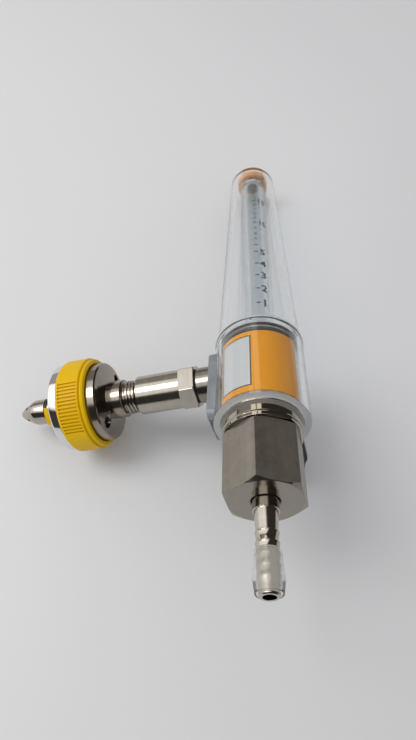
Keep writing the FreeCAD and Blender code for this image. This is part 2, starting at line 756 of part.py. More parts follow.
# Inlet coupler: hexagon and long barrel in one piece, with the filter inside
coupler = new_body("inlet_coupler")
coupler_hex = draw_on(coupler, "coupler_hexagon", "XZ_Plane", "-hex_end")
hexagon(coupler_hex, "coupler_flats", SIZES["coupler_turn"])
pushed(coupler, "coupler_bar", coupler_hex, "coupler_hex_height")
turned(coupler, "coupler_barrel", [
    ("hex_start", "0"),
    ("hex_start", "coupler_radius"),
    ("coupler_end - coupler_chamfer", "coupler_radius"),
    ("coupler_end", "coupler_radius - coupler_chamfer"),
    ("coupler_end", "0"),
], axis="Y")
turned(coupler, "coupler_inside", [
    ("hex_start - 1", "0"),
    ("hex_start - 1", "stub_thread + thread_gap"),
    ("coupler_end + 1", "probe_thread + thread_gap"),
    ("coupler_end + 1", "0"),
], axis="Y", cut=True)
for end, at, inward in (("rear", "hex_start", "+"), ("front", "hex_end", "-")):
    turned(coupler, f"coupler_{end}_chamfer", [
        (at, "coupler_flats / 2 + 0.2"),
        (at, "coupler_flats / sqrt(3) + 1"),
        (f"{at} {inward} 0.45 * (coupler_flats / sqrt(3) + 0.8 - coupler_flats / 2)", "coupler_flats / sqrt(3) + 1"),
    ], axis="Y", cut=True)
nodes["inlet_coupler"] = coupler
strainer = new_body("inlet_filter")
turned(strainer, "filter_turning", [
    ("filter_start", "0"),
    ("filter_start", "probe_thread - thread_gap"),
    ("filter_end", "probe_thread - thread_gap"),
    ("filter_end", "probe_thread - filter_wall"),
    ("filter_start + filter_wall", "probe_thread - filter_wall"),
    ("filter_start + filter_wall", "0"),
], axis="Y")
nodes["inlet_filter"] = strainer

# Probe body: threaded neck, hub and the dished disc that carries the grip ring
probe = new_body("probe_body")
turned(probe, "probe_turning", [
    ("filter_end", "pin_bore"),
    ("filter_end", "probe_thread"),
    ("coupler_end", "probe_thread"),
    ("coupler_end", "neck_radius"),
    ("neck_end", "neck_radius"),
    ("hub_start", "hub_radius"),
    ("hub_end", "hub_radius"),
    ("hub_end + disc_dish - disc_chamfer / 2", "disc_radius - disc_chamfer"),
    ("hub_end + disc_dish + disc_chamfer / 2", "disc_radius"),
    ("clip_at - clip_wire - groove_room", "disc_radius"),
    ("clip_at - clip_wire - groove_room", "clip_radius - clip_wire - groove_room"),
    ("clip_at + clip_wire + groove_room", "clip_radius - clip_wire - groove_room"),
    ("clip_at + clip_wire + groove_room", "disc_radius"),
    ("disc_front", "disc_radius"),
    ("disc_front", "pin_root + thread_gap"),
    ("disc_front - pin_root_length - 1", "pin_root + thread_gap"),
    ("disc_front - pin_root_length - 1", "pin_bore"),
], axis="Y")
for name, side in (("upper", ""), ("lower", "-")):
    height = f"{side}screw_circle"
    drilled(probe, name + "_screw_recess", "XZ_Plane", "-hub_end", "0", height, "screw_head + hole_gap",
            "screw_seat - hub_end")
    drilled(probe, name + "_screw_hole", "XZ_Plane", "-hub_end", "0", height, "screw_shank + thread_gap",
            "disc_front - hub_end + 1")
nodes["probe_body"] = probe

# Face screws: two socket screws, sunk in the disc, that hold the index plate
screws = []
for name, side in (("upper", ""), ("lower", "-")):
    screw = new_body(name + "_face_screw", lift=f"{side}screw_circle")
    turned(screw, name + "_screw_turning", [
        ("screw_seat - screw_head_height", "0"),
        ("screw_seat - screw_head_height", "screw_head - 0.2"),
        ("screw_seat - screw_head_height + 0.2", "screw_head"),
        ("screw_seat", "screw_head"),
        ("screw_seat", "screw_shank"),
        ("screw_end", "screw_shank"),
        ("screw_end", "0"),
    ], axis="Y")
    key_sketch = draw_on(screw, name + "_screw_key", "XZ_Plane", "screw_head_height - screw_seat")
    hexagon(key_sketch, "screw_socket * sqrt(3)", SIZES["screw_socket_turn"])
    pushed(screw, name + "_screw_socket", key_sketch, "screw_head_height / 2", cut=True)
    screws.append(screw)
screw_pair = doc.addObject("Part::Compound", "face_screws")
screw_pair.Links = screws
nodes["face_screws"] = screw_pair

# Index plate: yellow plate in the recess, whose key fits only the socket of its gas
plate = new_body("index_plate")
turned(plate, "plate_turning", [
    ("disc_front", "pin_radius + thread_gap"),
    ("disc_front", "plate_radius"),
    ("plate_front", "plate_radius"),
    ("plate_front", "pin_radius + thread_gap"),
], axis="Y")
key_outline = draw_on(plate, "key_outline", "XZ_Plane", "-disc_front - 0.5")
inner_arc = [
    (f"key_inner * cos(key_turn + key_sweep * {share})", f"key_inner * sin(key_turn + key_sweep * {share})")
    for share in (-0.5, 0.0, 0.5)
]
outer_arc = [
    (f"key_outer * cos(key_turn + key_sweep * {share})", f"key_outer * sin(key_turn + key_sweep * {share})")
    for share in (0.5, 0.25, 0.0, -0.25, -0.5)
]
outline(key_outline, inner_arc + outer_arc)
pushed(plate, "key", key_outline, "plate_thickness + key_length - 0.5", back=True)
for name, side in (("upper", ""), ("lower", "-")):
    drilled(plate, name + "_plate_hole", "XZ_Plane", "-disc_front + 1", "0", f"{side}screw_circle",
            "screw_shank + thread_gap", "plate_thickness + 0.5")
nodes["index_plate"] = plate

# Probe pin: screwed into the disc, grooved for its seal, with cross-drilled air ports
pin = new_body("probe_pin")
turned(pin, "pin_turning", [
    ("disc_front - pin_root_length", "pin_bore"),
    ("disc_front - pin_root_length", "pin_root"),
    ("disc_front", "pin_root"),
    ("disc_front", "pin_radius"),
    ("shank_end", "pin_radius"),
    ("shank_end", "pin_groove_radius"),
    ("land_start", "pin_groove_radius"),
    ("land_start", "pin_radius"),
    ("land_end", "pin_radius"),
    ("land_end + nose_length * 0.2", "pin_radius * 0.92"),
    ("pin_tip - nose_length * 0.2", "nose_tip + (pin_radius - nose_tip) * 0.24"),
    ("pin_tip - nose_length * 0.06", "nose_tip"),
    ("pin_tip", "nose_tip * 0.6"),
    ("pin_tip", "0"),
    ("pin_tip - port_set_back + port_radius + hole_gap", "0"),
    ("pin_tip - port_set_back + port_radius + hole_gap", "pin_bore"),
], axis="Y")
port_sketch = draw_on(pin, "pin_port_place", "XY_Plane")
circle(port_sketch, "0", "pin_tip - port_set_back", "port_radius")
pushed(pin, "pin_port", port_sketch, "pin_radius", cut=True)
port_pattern = pin.newObject("PartDesign::PolarPattern", "pin_ports")
port_pattern.Originals = [doc.getObject("pin_port")]
port_pattern.Axis = (port_sketch, ["V_Axis"])
port_pattern.Angle = 360
port_pattern.Occurrences = PROBE_PORTS
pin.Tip = port_pattern
nodes["probe_pin"] = pin
nodes["probe_seal"] = ring_seal(
    "probe_seal", "Y", "shank_end + pin_groove_length / 2", "pin_seal_radius", "small_cord")

# Grip ring: yellow ring that turns on the disc, its rim grooved in zones for the fingers
grip = new_body("grip_ring")
turned(grip, "grip_turning", [
    ("grip_rear", "grip_bore + grip_mouth"),
    ("grip_rear", "grip_bead_radius - 0.9"),
    ("grip_rear + 0.35", "grip_bead_radius - 0.2"),
    ("grip_rear + 0.8", "grip_bead_radius"),
    ("band_start - 0.35", "grip_bead_radius - 0.25"),
    ("band_start", "grip_radius - 0.4"),
    ("band_start + 0.5", "grip_radius - 0.05"),
    ("grip_front - 1.2", "grip_radius"),
    ("grip_front - 0.4", "grip_radius - 0.25"),
    ("grip_front", "grip_radius - 0.8"),
    ("grip_front", "skirt_radius + turn_gap"),
    ("bezel_rear", "skirt_radius + turn_gap"),
    ("bezel_rear", "grip_bore"),
    ("clip_at + clip_wire + clip_play", "grip_bore"),
    ("clip_at + clip_wire + clip_play", "clip_radius + clip_wire + clip_play"),
    ("clip_at - clip_wire - clip_play", "clip_radius + clip_wire + clip_play"),
    ("clip_at - clip_wire - clip_play", "grip_bore"),
    ("grip_rear + grip_mouth", "grip_bore"),
], axis="Y")
rib_sketch = draw_on(grip, "rib_groove_outline", "XZ_Plane", "-band_start - 0.3")
rib_turn = "rib_zone_turn - rib_zone_sweep / 2"
rib_corners = []
for along, across in ((0, -1), (1, -1), (1, 1), (0, 1)):
    radius = "(grip_radius + 1)" if along else "(grip_radius - rib_groove_depth)"
    width = f"{across} * rib_groove_width / 2"
    rib_corners.append((
        f"{radius} * cos({rib_turn}) - {width} * sin({rib_turn})",
        f"{radius} * sin({rib_turn}) + {width} * cos({rib_turn})",
    ))
outline(rib_sketch, rib_corners)
rib_cut = pushed(grip, "rib_groove", rib_sketch, "rib_zone_length", cut=True)
ribs = grip.newObject("PartDesign::MultiTransform", "rib_zones")
ribs.Originals = [rib_cut]
in_zone = grip.newObject("PartDesign::PolarPattern", "ribs_in_zone")
in_zone.Axis = (rib_sketch, ["N_Axis"])
in_zone.setExpression("Angle", ex("rib_zone_sweep"))
in_zone.Occurrences = RIB_COUNT
round_ring = grip.newObject("PartDesign::PolarPattern", "zones_round_ring")
round_ring.Axis = (rib_sketch, ["N_Axis"])
round_ring.Angle = 360
round_ring.Occurrences = RIB_ZONES
ribs.Transformations = [in_zone, round_ring]
grip.Tip = ribs
nodes["grip_ring"] = grip

# Bezel: bright ring pressed into the front of the grip ring
bezel = new_body("bezel_ring")
turned(bezel, "bezel_turning", [
    ("bezel_rear", "skirt_radius - bezel_skirt_wall"),
    ("bezel_rear", "skirt_radius"),
    ("grip_front", "skirt_radius"),
    ("grip_front", "bezel_radius"),
    ("bezel_front - bezel_round", "bezel_radius"),
    ("bezel_front", "bezel_radius - bezel_round"),
    ("bezel_front", "bezel_bore + bezel_round"),
    ("bezel_front - bezel_round", "bezel_bore"),
    ("grip_front", "bezel_bore"),
    ("grip_front - 0.4", "skirt_radius - bezel_skirt_wall"),
], axis="Y")
nodes["bezel_ring"] = bezel
nodes["collar_clip"] = ring_seal("collar_clip", "Y", "clip_at", "clip_radius", "clip_wire")

# Valve bonnet: screwed into the body through the cover's second pad
bonnet = new_body("valve_bonnet", lift="-valve_drop")
turned(bonnet, "bonnet_turning", [
    ("bonnet_root", "gland_radius"),
    ("bonnet_root", "bonnet_thread"),
    ("bonnet_seat", "bonnet_thread"),
    ("bonnet_seat", "bonnet_flange"),
    ("bonnet_flange_end", "bonnet_flange"),
    ("bonnet_flange_end", "bonnet_nose"),
    ("bonnet_end", "bonnet_nose"),
    ("bonnet_end", "spindle_radius + spindle_gap"),
    ("gland_end", "spindle_radius + spindle_gap"),
    ("gland_end", "gland_radius"),
], axis="X")
nodes["valve_bonnet"] = bonnet
nodes["bonnet_seal"] = ring_seal(
    "bonnet_seal", "X", "bonnet_seal_at", "bonnet_seal_radius", "small_cord", lift="-valve_drop")
nodes["spindle_seal"] = ring_seal(
    "spindle_seal", "X", "spindle_seal_at", "spindle_seal_radius", "small_cord - seal_gap / 2", lift="-valve_drop")

# Seat disc: swivels on the spindle's end and closes the valve
seat = new_body("seat_disc", lift="-valve_drop")
turned(seat, "seat_turning", [
    ("seal_face", "0"),
    ("seal_face", "disc_seal_radius - 0.3"),
    ("seal_face + 0.3", "disc_seal_radius"),
    ("seal_back", "disc_seal_radius"),
    ("seal_back", "swivel_radius + turn_gap"),
    ("seal_face + disc_seal_height / 3", "swivel_radius + turn_gap"),
    ("seal_face + disc_seal_height / 3", "0"),
], axis="X")
nodes["seat_disc"] = seat

# Valve spindle: turns in the bonnet and carries the knob
spindle = new_body("valve_spindle", lift="-valve_drop")
turned(spindle, "spindle_turning", [
    ("seal_face + disc_seal_height / 3 + seat_gap", "0"),
    ("seal_face + disc_seal_height / 3 + seat_gap", "swivel_radius"),
    ("spindle_start", "swivel_radius"),
    ("spindle_start", "spindle_radius"),
    ("spindle_end", "spindle_radius"),
    ("spindle_end", "knob_screw_shank + spindle_gap"),
    ("knob_screw_seat - knob_screw_length", "knob_screw_shank + spindle_gap"),
    ("knob_screw_seat - knob_screw_length", "0"),
], axis="X")
nodes["valve_spindle"] = spindle

# Control knob: black moulding, fluted outside and hollow behind, with a hub for the spindle
knob = new_body("control_knob", lift="-valve_drop")
turned(knob, "knob_turning", [
    ("knob_start", "0"),
    ("knob_start", "knob_radius - 0.3"),
    ("knob_start + 0.3", "knob_radius"),
    ("knob_end - knob_chamfer", "knob_radius - 0.4"),
    ("knob_end", "knob_radius - knob_chamfer - 0.4"),
    ("knob_end", "0"),
], axis="X")
turned(knob, "knob_hollow", [
    ("knob_start - 1", "knob_hub"),
    ("knob_start - 1", "knob_radius - knob_wall - knob_flute_sunk"),
    ("knob_roof", "knob_radius - knob_wall - knob_flute_sunk - 0.4"),
    ("knob_roof", "knob_hub"),
], axis="X", cut=True)
turned(knob, "knob_bore", [
    ("knob_start - 1", "0"),
    ("knob_start - 1", "spindle_radius"),
    ("spindle_end", "spindle_radius"),
    ("spindle_end", "knob_screw_shank + spindle_gap"),
    ("knob_screw_seat", "knob_screw_shank + spindle_gap"),
    ("knob_screw_seat", "knob_screw_head + hole_gap"),
    ("knob_end + 1", "knob_screw_head + hole_gap"),
    ("knob_end + 1", "0"),
], axis="X", cut=True)
flute_sketch = draw_on(knob, "knob_flute_outline", "YZ_Plane", "knob_end + 1")
circle(flute_sketch, "knob_radius + knob_flute - knob_flute_sunk", "0", "knob_flute")
flute = pushed(knob, "knob_flute_cut", flute_sketch, "knob_end - knob_start - 1", cut=True)
repeated(knob, "knob_flutes", flute, flute_sketch, KNOB_FLUTES)
nodes["control_knob"] = knob
knob_screw = new_body("knob_screw", lift="-valve_drop")
turned(knob_screw, "knob_screw_turning", [
    ("knob_screw_seat - knob_screw_length + spindle_gap", "0"),
    ("knob_screw_seat - knob_screw_length + spindle_gap", "knob_screw_shank"),
    ("knob_screw_seat", "knob_screw_shank"),
    ("knob_screw_seat", "knob_screw_head"),
    ("knob_screw_seat + knob_screw_height * 0.6", "knob_screw_head"),
    ("knob_screw_seat + knob_screw_height", "knob_screw_head * 0.7"),
    ("knob_screw_seat + knob_screw_height", "0"),
], axis="X")
nodes["knob_screw"] = knob_screw

# Build everything, test it and write one file for each piece
doc.recompute()
failed = [part.Name for part in doc.Objects if {"Invalid", "Error"} & set(part.State)]
if failed:
    raise RuntimeError("these objects failed: " + ", ".join(failed))
os.makedirs("parts", exist_ok=True)
for name, piece in nodes.items():
    shape = piece.Shape
    if shape.isNull() or not shape.isValid() or not shape.Solids:
        raise RuntimeError(name + " has no valid solid")
    piece.Label = name
    shape.exportStep(os.path.join("parts", name + ".step"))
    print(f"{name}: {len(shape.Solids)} solid, {shape.Volume:.1f} mm3")
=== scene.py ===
import math

import bpy
from mathutils import Matrix, Vector


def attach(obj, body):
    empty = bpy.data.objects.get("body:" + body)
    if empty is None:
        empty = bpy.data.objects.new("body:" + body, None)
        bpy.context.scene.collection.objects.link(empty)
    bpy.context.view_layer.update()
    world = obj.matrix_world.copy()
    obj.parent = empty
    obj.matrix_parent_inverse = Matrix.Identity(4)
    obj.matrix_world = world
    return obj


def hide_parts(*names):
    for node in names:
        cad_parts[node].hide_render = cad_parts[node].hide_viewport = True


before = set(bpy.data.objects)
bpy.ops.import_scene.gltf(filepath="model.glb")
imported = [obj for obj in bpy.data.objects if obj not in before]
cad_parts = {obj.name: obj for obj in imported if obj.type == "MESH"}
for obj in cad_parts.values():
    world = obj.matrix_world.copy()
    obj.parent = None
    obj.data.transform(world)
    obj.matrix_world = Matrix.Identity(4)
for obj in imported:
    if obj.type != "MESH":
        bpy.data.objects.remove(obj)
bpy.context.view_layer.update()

# Valve body
# A brass bar turned to a core, a mirror-bright collar and a spigot, drilled for the air's way
# and plated with nickel. Every other piece is screwed, pushed or slid on to it.
MM = 0.001
TUBE_AXIS = (0, -85, 0)
INLET_AXIS = (0, 0, 0)
VALVE_AXIS = (0, -85, -8.1)


def pick(*pieces):
    """Select these pieces alone, the first of them active."""
    bpy.ops.object.select_all(action="DESELECT")
    for piece in pieces:
        piece.select_set(True)
    bpy.context.view_layer.objects.active = pieces[0]


def edit(piece):
    """Open a piece in edit mode with nothing else selected."""
    pick(piece)
    bpy.ops.object.mode_set(mode="EDIT")


def apply_step(piece, kind, **settings):
    """Add a modifier to a piece and apply it."""
    pick(piece)
    step = piece.modifiers.new(kind.lower(), kind)
    for setting, value in settings.items():
        setattr(step, setting, value)
    bpy.ops.object.modifier_apply(modifier=step.name)


def break_edges(piece, width, angle=28, segments=2):
    """Round the sharp edges by a width in millimetres and shade the rest smooth."""
    if width:
        apply_step(piece, "BEVEL", width=width * MM, segments=segments, limit_method="ANGLE",
                   angle_limit=math.radians(angle))
    pick(piece)
    bpy.ops.object.shade_smooth_by_angle(angle=math.radians(34))
    apply_step(piece, "WEIGHTED_NORMAL", weight=90, keep_sharp=True)


def turned(name, outline, axis, through, closed=True, edge=0.12, segments=128):
    """Carry a ring of edges along (radius, station) pairs in millimetres, as a lathe tool runs."""
    along = Vector([letter == axis for letter in "XYZ"])
    centre = Vector(through) * MM
    bpy.ops.mesh.primitive_circle_add(
        vertices=segments, radius=outline[0][0] * MM, location=centre + along * outline[0][1] * MM,
        rotation=along.to_track_quat("Z", "Y").to_euler())
    piece = bpy.context.object
    piece.name = piece.data.name = name
    bpy.ops.object.transform_apply()
    edit(piece)
    bpy.ops.mesh.select_all(action="SELECT")
    path = outline + outline[:1] if closed else outline
    for (radius, station), (next_radius, next_station) in zip(path, path[1:]):
        step = along * (next_station - station) * MM
        bpy.ops.mesh.extrude_edges_move(TRANSFORM_OT_translate={"value": step})
        ratio = next_radius / radius
        bpy.ops.transform.resize(value=[1 if this else ratio for this in along],
                                 center_override=centre + along * next_station * MM)
    bpy.ops.mesh.select_all(action="SELECT")
    bpy.ops.mesh.remove_doubles(threshold=0.000002)
    if not closed:
        bpy.ops.mesh.fill_holes(sides=0)
    bpy.ops.mesh.normals_make_consistent(inside=False)
    bpy.ops.object.mode_set(mode="OBJECT")
    break_edges(piece, edge)
    return piece


def combine(piece, tool, how="DIFFERENCE"):
    """Cut, join or trim a piece with another, which is used up."""
    apply_step(piece, "BOOLEAN", object=tool, operation=how, solver="EXACT")
    bpy.data.objects.remove(tool)
    return piece


def fit(piece, material, body, slot, *nodes):
    """Give a piece its finish and its body, and hide the CAD nodes it stands for. The slot is not used."""
    piece.data.materials.clear()
    piece.data.materials.append(material)
    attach(piece, body)
    if nodes:
        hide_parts(*nodes)


def node_group(name, inputs, outputs):
    """Empty shader group with named sockets, and its nodes and links."""
    group = bpy.data.node_groups.new(name, "ShaderNodeTree")
    for label, kind in inputs:
        group.interface.new_socket(label, in_out="INPUT", socket_type=kind)
    for label, kind in outputs:
        group.interface.new_socket(label, in_out="OUTPUT", socket_type=kind)
    entry = group.nodes.new("NodeGroupInput")
    leave = group.nodes.new("NodeGroupOutput")
    return group, entry, leave


def join_math(tree, kind, *values):
    """Math node fed with sockets or numbers; returns its result."""
    node = tree.nodes.new("ShaderNodeMath")
    node.operation = kind
    for socket, value in zip(node.inputs, values):
        if isinstance(value, (int, float)):
            socket.default_value = value
        else:
            tree.links.new(value, socket)
    return node.outputs[0]


# Cutting marks: fine rings round the axis, or streaks along a bar, with faint stains over them
marks, marks_in, marks_out = node_group(
    "cutting_marks",
    [("Vector", "NodeSocketVector"), ("Fineness", "NodeSocketFloat"), ("Along", "NodeSocketFloat"),
     ("Stains", "NodeSocketFloat")],
    [("Tone", "NodeSocketFloat"), ("Height", "NodeSocketFloat"), ("Dullness", "NodeSocketFloat")])
apart = marks.nodes.new("ShaderNodeSeparateXYZ")
marks.links.new(marks_in.outputs["Vector"], apart.inputs[0])
flat_square = join_math(marks, "ADD", join_math(marks, "POWER", apart.outputs[0], 2.0),
                        join_math(marks, "POWER", apart.outputs[1], 2.0))
ring_vector = marks.nodes.new("ShaderNodeCombineXYZ")
marks.links.new(join_math(marks, "SQRT", flat_square), ring_vector.inputs[0])
marks.links.new(apart.outputs[2], ring_vector.inputs[1])
bar_vector = marks.nodes.new("ShaderNodeVectorMath")
bar_vector.operation = "MULTIPLY"
marks.links.new(marks_in.outputs["Vector"], bar_vector.inputs[0])
bar_vector.inputs[1].default_value = (1, 1, 0.02)
line_vector = marks.nodes.new("ShaderNodeMix")
line_vector.data_type = "VECTOR"
marks.links.new(marks_in.outputs["Along"], line_vector.inputs["Factor"])
marks.links.new(ring_vector.outputs[0], line_vector.inputs[4])
marks.links.new(bar_vector.outputs[0], line_vector.inputs[5])
fine_lines = marks.nodes.new("ShaderNodeTexNoise")
fine_lines.inputs["Detail"].default_value = 3
marks.links.new(line_vector.outputs[1], fine_lines.inputs["Vector"])
marks.links.new(marks_in.outputs["Fineness"], fine_lines.inputs["Scale"])
broad_lines = marks.nodes.new("ShaderNodeTexNoise")
broad_lines.inputs["Detail"].default_value = 2
marks.links.new(line_vector.outputs[1], broad_lines.inputs["Vector"])
broad_scale = join_math(marks, "MULTIPLY", marks_in.outputs["Fineness"], 0.22)
marks.links.new(broad_scale, broad_lines.inputs["Scale"])
stain = marks.nodes.new("ShaderNodeTexNoise")
stain.inputs["Scale"].default_value = 260
stain.inputs["Detail"].default_value = 5
stain.inputs["Roughness"].default_value = 0.62
marks.links.new(marks_in.outputs["Vector"], stain.inputs["Vector"])
stain_part = join_math(marks, "MULTIPLY", marks_in.outputs["Stains"],
                       join_math(marks, "SUBTRACT", stain.outputs[0], 0.5))
line_part = join_math(marks, "MULTIPLY", join_math(marks, "SUBTRACT", broad_lines.outputs[0], 0.5), 0.8)
tone = join_math(marks, "ADD", join_math(marks, "ADD", stain_part, line_part), 0.5)
marks.links.new(tone, marks_out.inputs["Tone"])
marks.links.new(join_math(marks, "ADD", fine_lines.outputs[0], broad_lines.outputs[0]),
                marks_out.inputs["Height"])
marks.links.new(join_math(marks, "ADD", join_math(marks, "MULTIPLY", fine_lines.outputs[0], 0.6),
                          stain_part),
                marks_out.inputs["Dullness"])


def start_material(name, **sockets):
    """New material and its shader, with plain numbers and colours set on the shader's own sockets."""
    material = bpy.data.materials.new(name)
    material.use_nodes = True
    shader = material.node_tree.nodes["Principled BSDF"]
    for label, value in sockets.items():
        shader.inputs[label.replace("_", " ")].default_value = value
    return material, material.node_tree, shader


def axis_vector(tree, axis, through):
    """Object coordinates turned and moved so that the piece's axis is Z through the centre."""
    place = tree.nodes.new("ShaderNodeTexCoord")
    moved = tree.nodes.new("ShaderNodeMapping")
    moved.vector_type = "TEXTURE"
    moved.inputs["Location"].default_value = Vector(through) * MM
    moved.inputs["Rotation"].default_value = {
        "Z": (0, 0, 0), "Y": (-math.pi / 2, 0, 0), "X": (0, math.pi / 2, 0)}[axis]
    tree.links.new(place.outputs["Object"], moved.inputs["Vector"])
    return moved.outputs[0]


def blend_colour(tree, factor, low, high):
    """Colour between two, by a socket from 0 to 1."""
    mix = tree.nodes.new("ShaderNodeMix")
    mix.data_type = "RGBA"
    tree.links.new(factor, mix.inputs["Factor"])
    for socket, colour in ((mix.inputs[6], low), (mix.inputs[7], high)):
        if isinstance(colour, tuple):
            socket.default_value = (*colour, 1)
        else:
            tree.links.new(colour, socket)
    return mix.outputs[2]


def spread(tree, value, low, high):
    """Map 0 to 1 on to low to high, held between them."""
    node = tree.nodes.new("ShaderNodeMapRange")
    tree.links.new(value, node.inputs["Value"])
    node.inputs["To Min"].default_value = low
    node.inputs["To Max"].default_value = high
    return node.outputs[0]


def bump(tree, shader, height, distance, strength=1.0):
    """Feed a height in millimetres to the shader's normal."""
    node = tree.nodes.new("ShaderNodeBump")
    node.inputs["Distance"].default_value = distance * MM
    node.inputs["Strength"].default_value = strength
    tree.links.new(height, node.inputs["Height"])
    tree.links.new(node.outputs[0], shader.inputs["Normal"])


def place_group(tree, group, vector, **values):
    """Put a node group in a material, fed with coordinates and with its own values."""
    node = tree.nodes.new("ShaderNodeGroup")
    node.node_tree = group
    tree.links.new(vector, node.inputs["Vector"])
    for label, value in values.items():
        node.inputs[label].default_value = value
    return node


def plated(name, axis, through, smooth, dull, dark=(0.40, 0.365, 0.315), light=(0.54, 0.505, 0.445),
           fineness=2600, along=0.0, depth=0.004, stains=0.5, metal=1.0):
    """Nickel plate over cutting marks, its gloss between smooth and dull."""
    material, tree, shader = start_material(name, Metallic=metal)
    group = place_group(tree, marks, axis_vector(tree, axis, through), Fineness=fineness, Along=along,
                        Stains=stains)
    tree.links.new(blend_colour(tree, group.outputs["Tone"], dark, light), shader.inputs["Base Color"])
    tree.links.new(spread(tree, group.outputs["Dullness"], smooth, dull), shader.inputs["Roughness"])
    bump(tree, shader, group.outputs["Height"], depth)
    return material


body_plate = plated("turned_nickel", "Z", TUBE_AXIS, 0.04, 0.10, fineness=2200, depth=0.0012)
body_turning = turned("body_turning", [
    (2.0, -41.2), (7.14, -41.2), (7.14, -28.0), (12.9, -28.0), (12.9, -26.6), (13.4, -26.5), (13.4, -22.3),
    (13.6, -22.2), (13.6, 8.3), (12.8, 8.3), (12.8, 9.9), (13.6, 9.9), (13.6, 11.2), (12.9, 11.2),
    (12.9, 12.2), (13.6, 12.2), (13.6, 12.5), (12.6, 13.4), (6.3, 13.4), (6.3, 8.6), (2.0, 8.6),
], "Z", TUBE_AXIS, edge=0.15)
combine(body_turning, turned("inlet_port", [(5.0, -81.5), (5.0, -72.5), (6.55, -72.5), (6.55, -70)],
                             "Y", INLET_AXIS, closed=False, edge=0))
combine(body_turning, turned("valve_port", [(3.2, 4.2), (3.2, 7.6), (4.3, 7.6), (4.3, 12.4), (6.1, 12.4),
                                            (6.1, 15)], "X", VALVE_AXIS, closed=False, edge=0))
break_edges(body_turning, 0)
fit(body_turning, body_plate, "meter", "plated_brass", "valve_body")

# Body seals
# Two black rubber rings in grooves at the top of the core. Squeezed by the clear sleeve, they
# close the space above the body and hold the sleeve by friction.
rubber, rubber_tree, rubber_shader = start_material("seal_rubber")
dust = rubber_tree.nodes.new("ShaderNodeTexNoise")
dust.inputs["Scale"].default_value = 1500
rubber_tree.links.new(axis_vector(rubber_tree, "Z", TUBE_AXIS), dust.inputs["Vector"])
rubber_colour = blend_colour(rubber_tree, dust.outputs[0], (0.010, 0.010, 0.011), (0.034, 0.033, 0.032))
rubber_tree.links.new(rubber_colour, rubber_shader.inputs["Base Color"])
rubber_tree.links.new(spread(rubber_tree, dust.outputs[0], 0.34, 0.58), rubber_shader.inputs["Roughness"])


def rubber_ring(name, radius, station, cord, axis, through):
    """Ring with a round section, a little flat where it is squeezed."""
    section = [
        (radius + min(cord * math.cos(turn), cord * 0.94), station + cord * math.sin(turn))
        for turn in (math.tau * (step + 0.5) / 14 for step in range(14))
    ]
    return turned(name, section, axis, through, edge=0)


for name, radius, station, cord, node in (("upper_core_ring", 13.7, 11.7, 0.42, "upper_body_seal"),
                                          ("lower_core_ring", 13.55, 9.1, 0.7, "lower_body_seal")):
    fit(rubber_ring(name, radius, station, cord, "Z", TUBE_AXIS), rubber, "meter", "black_rubber", node)
fit(rubber_ring("tube_foot_ring", 6.775, 11.0, 0.55, "Z", TUBE_AXIS), rubber, "meter", "black_rubber",
    "tube_base_seal")

# Flow tube
# A thick clear tube, its bore widening towards the top, that stands in the body's socket. The
# scale is printed on its outside in black.

# Handling marks: dull patches where a clear piece has been rubbed
rubbed, rubbed_in, rubbed_out = node_group(
    "handling_marks",
    [("Vector", "NodeSocketVector"), ("Smooth", "NodeSocketFloat"), ("Wear", "NodeSocketFloat")],
    [("Roughness", "NodeSocketFloat"), ("Height", "NodeSocketFloat")])
rub = rubbed.nodes.new("ShaderNodeTexNoise")
rub.inputs["Scale"].default_value = 420
rub.inputs["Detail"].default_value = 4
rubbed.links.new(rubbed_in.outputs["Vector"], rub.inputs["Vector"])
rub_part = join_math(rubbed, "MULTIPLY", rub.outputs[0], rubbed_in.outputs["Wear"])
rubbed.links.new(join_math(rubbed, "ADD", rubbed_in.outputs["Smooth"], rub_part),
                 rubbed_out.inputs["Roughness"])
rubbed.links.new(rub.outputs[0], rubbed_out.inputs["Height"])


def clear_plastic(name, colour, roughness, ior, shade, wear=0.0, shine=0.5):
    """Clear plastic that lets lamps through, with faint handling marks."""
    material, tree, shader = start_material(
        name, Base_Color=(*colour, 1), IOR=ior, Transmission_Weight=1.0, Specular_IOR_Level=shine)
    place = tree.nodes.new("ShaderNodeTexCoord")
    group = place_group(tree, rubbed, place.outputs["Object"], Smooth=roughness, Wear=wear)
    tree.links.new(group.outputs["Roughness"], shader.inputs["Roughness"])
    bump(tree, shader, group.outputs["Height"], 0.004)
    see_through = tree.nodes.new("ShaderNodeBsdfTransparent")
    see_through.inputs[0].default_value = (*shade, 1)
    light_path = tree.nodes.new("ShaderNodeLightPath")
    choose = tree.nodes.new("ShaderNodeMixShader")
    tree.links.new(light_path.outputs["Is Shadow Ray"], choose.inputs[0])
    tree.links.new(shader.outputs[0], choose.inputs[1])
    tree.links.new(see_through.outputs[0], choose.inputs[2])
    tree.links.new(choose.outputs[0], tree.nodes["Material Output"].inputs["Surface"])
    return material


tube_clear = clear_plastic("tube_clear", (0.85, 0.885, 0.91), 0.02, 1.46, (0.78, 0.80, 0.82), 0.05)
tube = turned("scale_tube", [(2.48, 8.6), (6.2, 8.6), (6.2, 132.6), (3.3, 132.6), (3.3, 131.4),
                             (2.48, 14.5)],
              "Z", TUBE_AXIS, edge=0.2)
fit(tube, tube_clear, "meter", "clear_tube", "flow_tube")

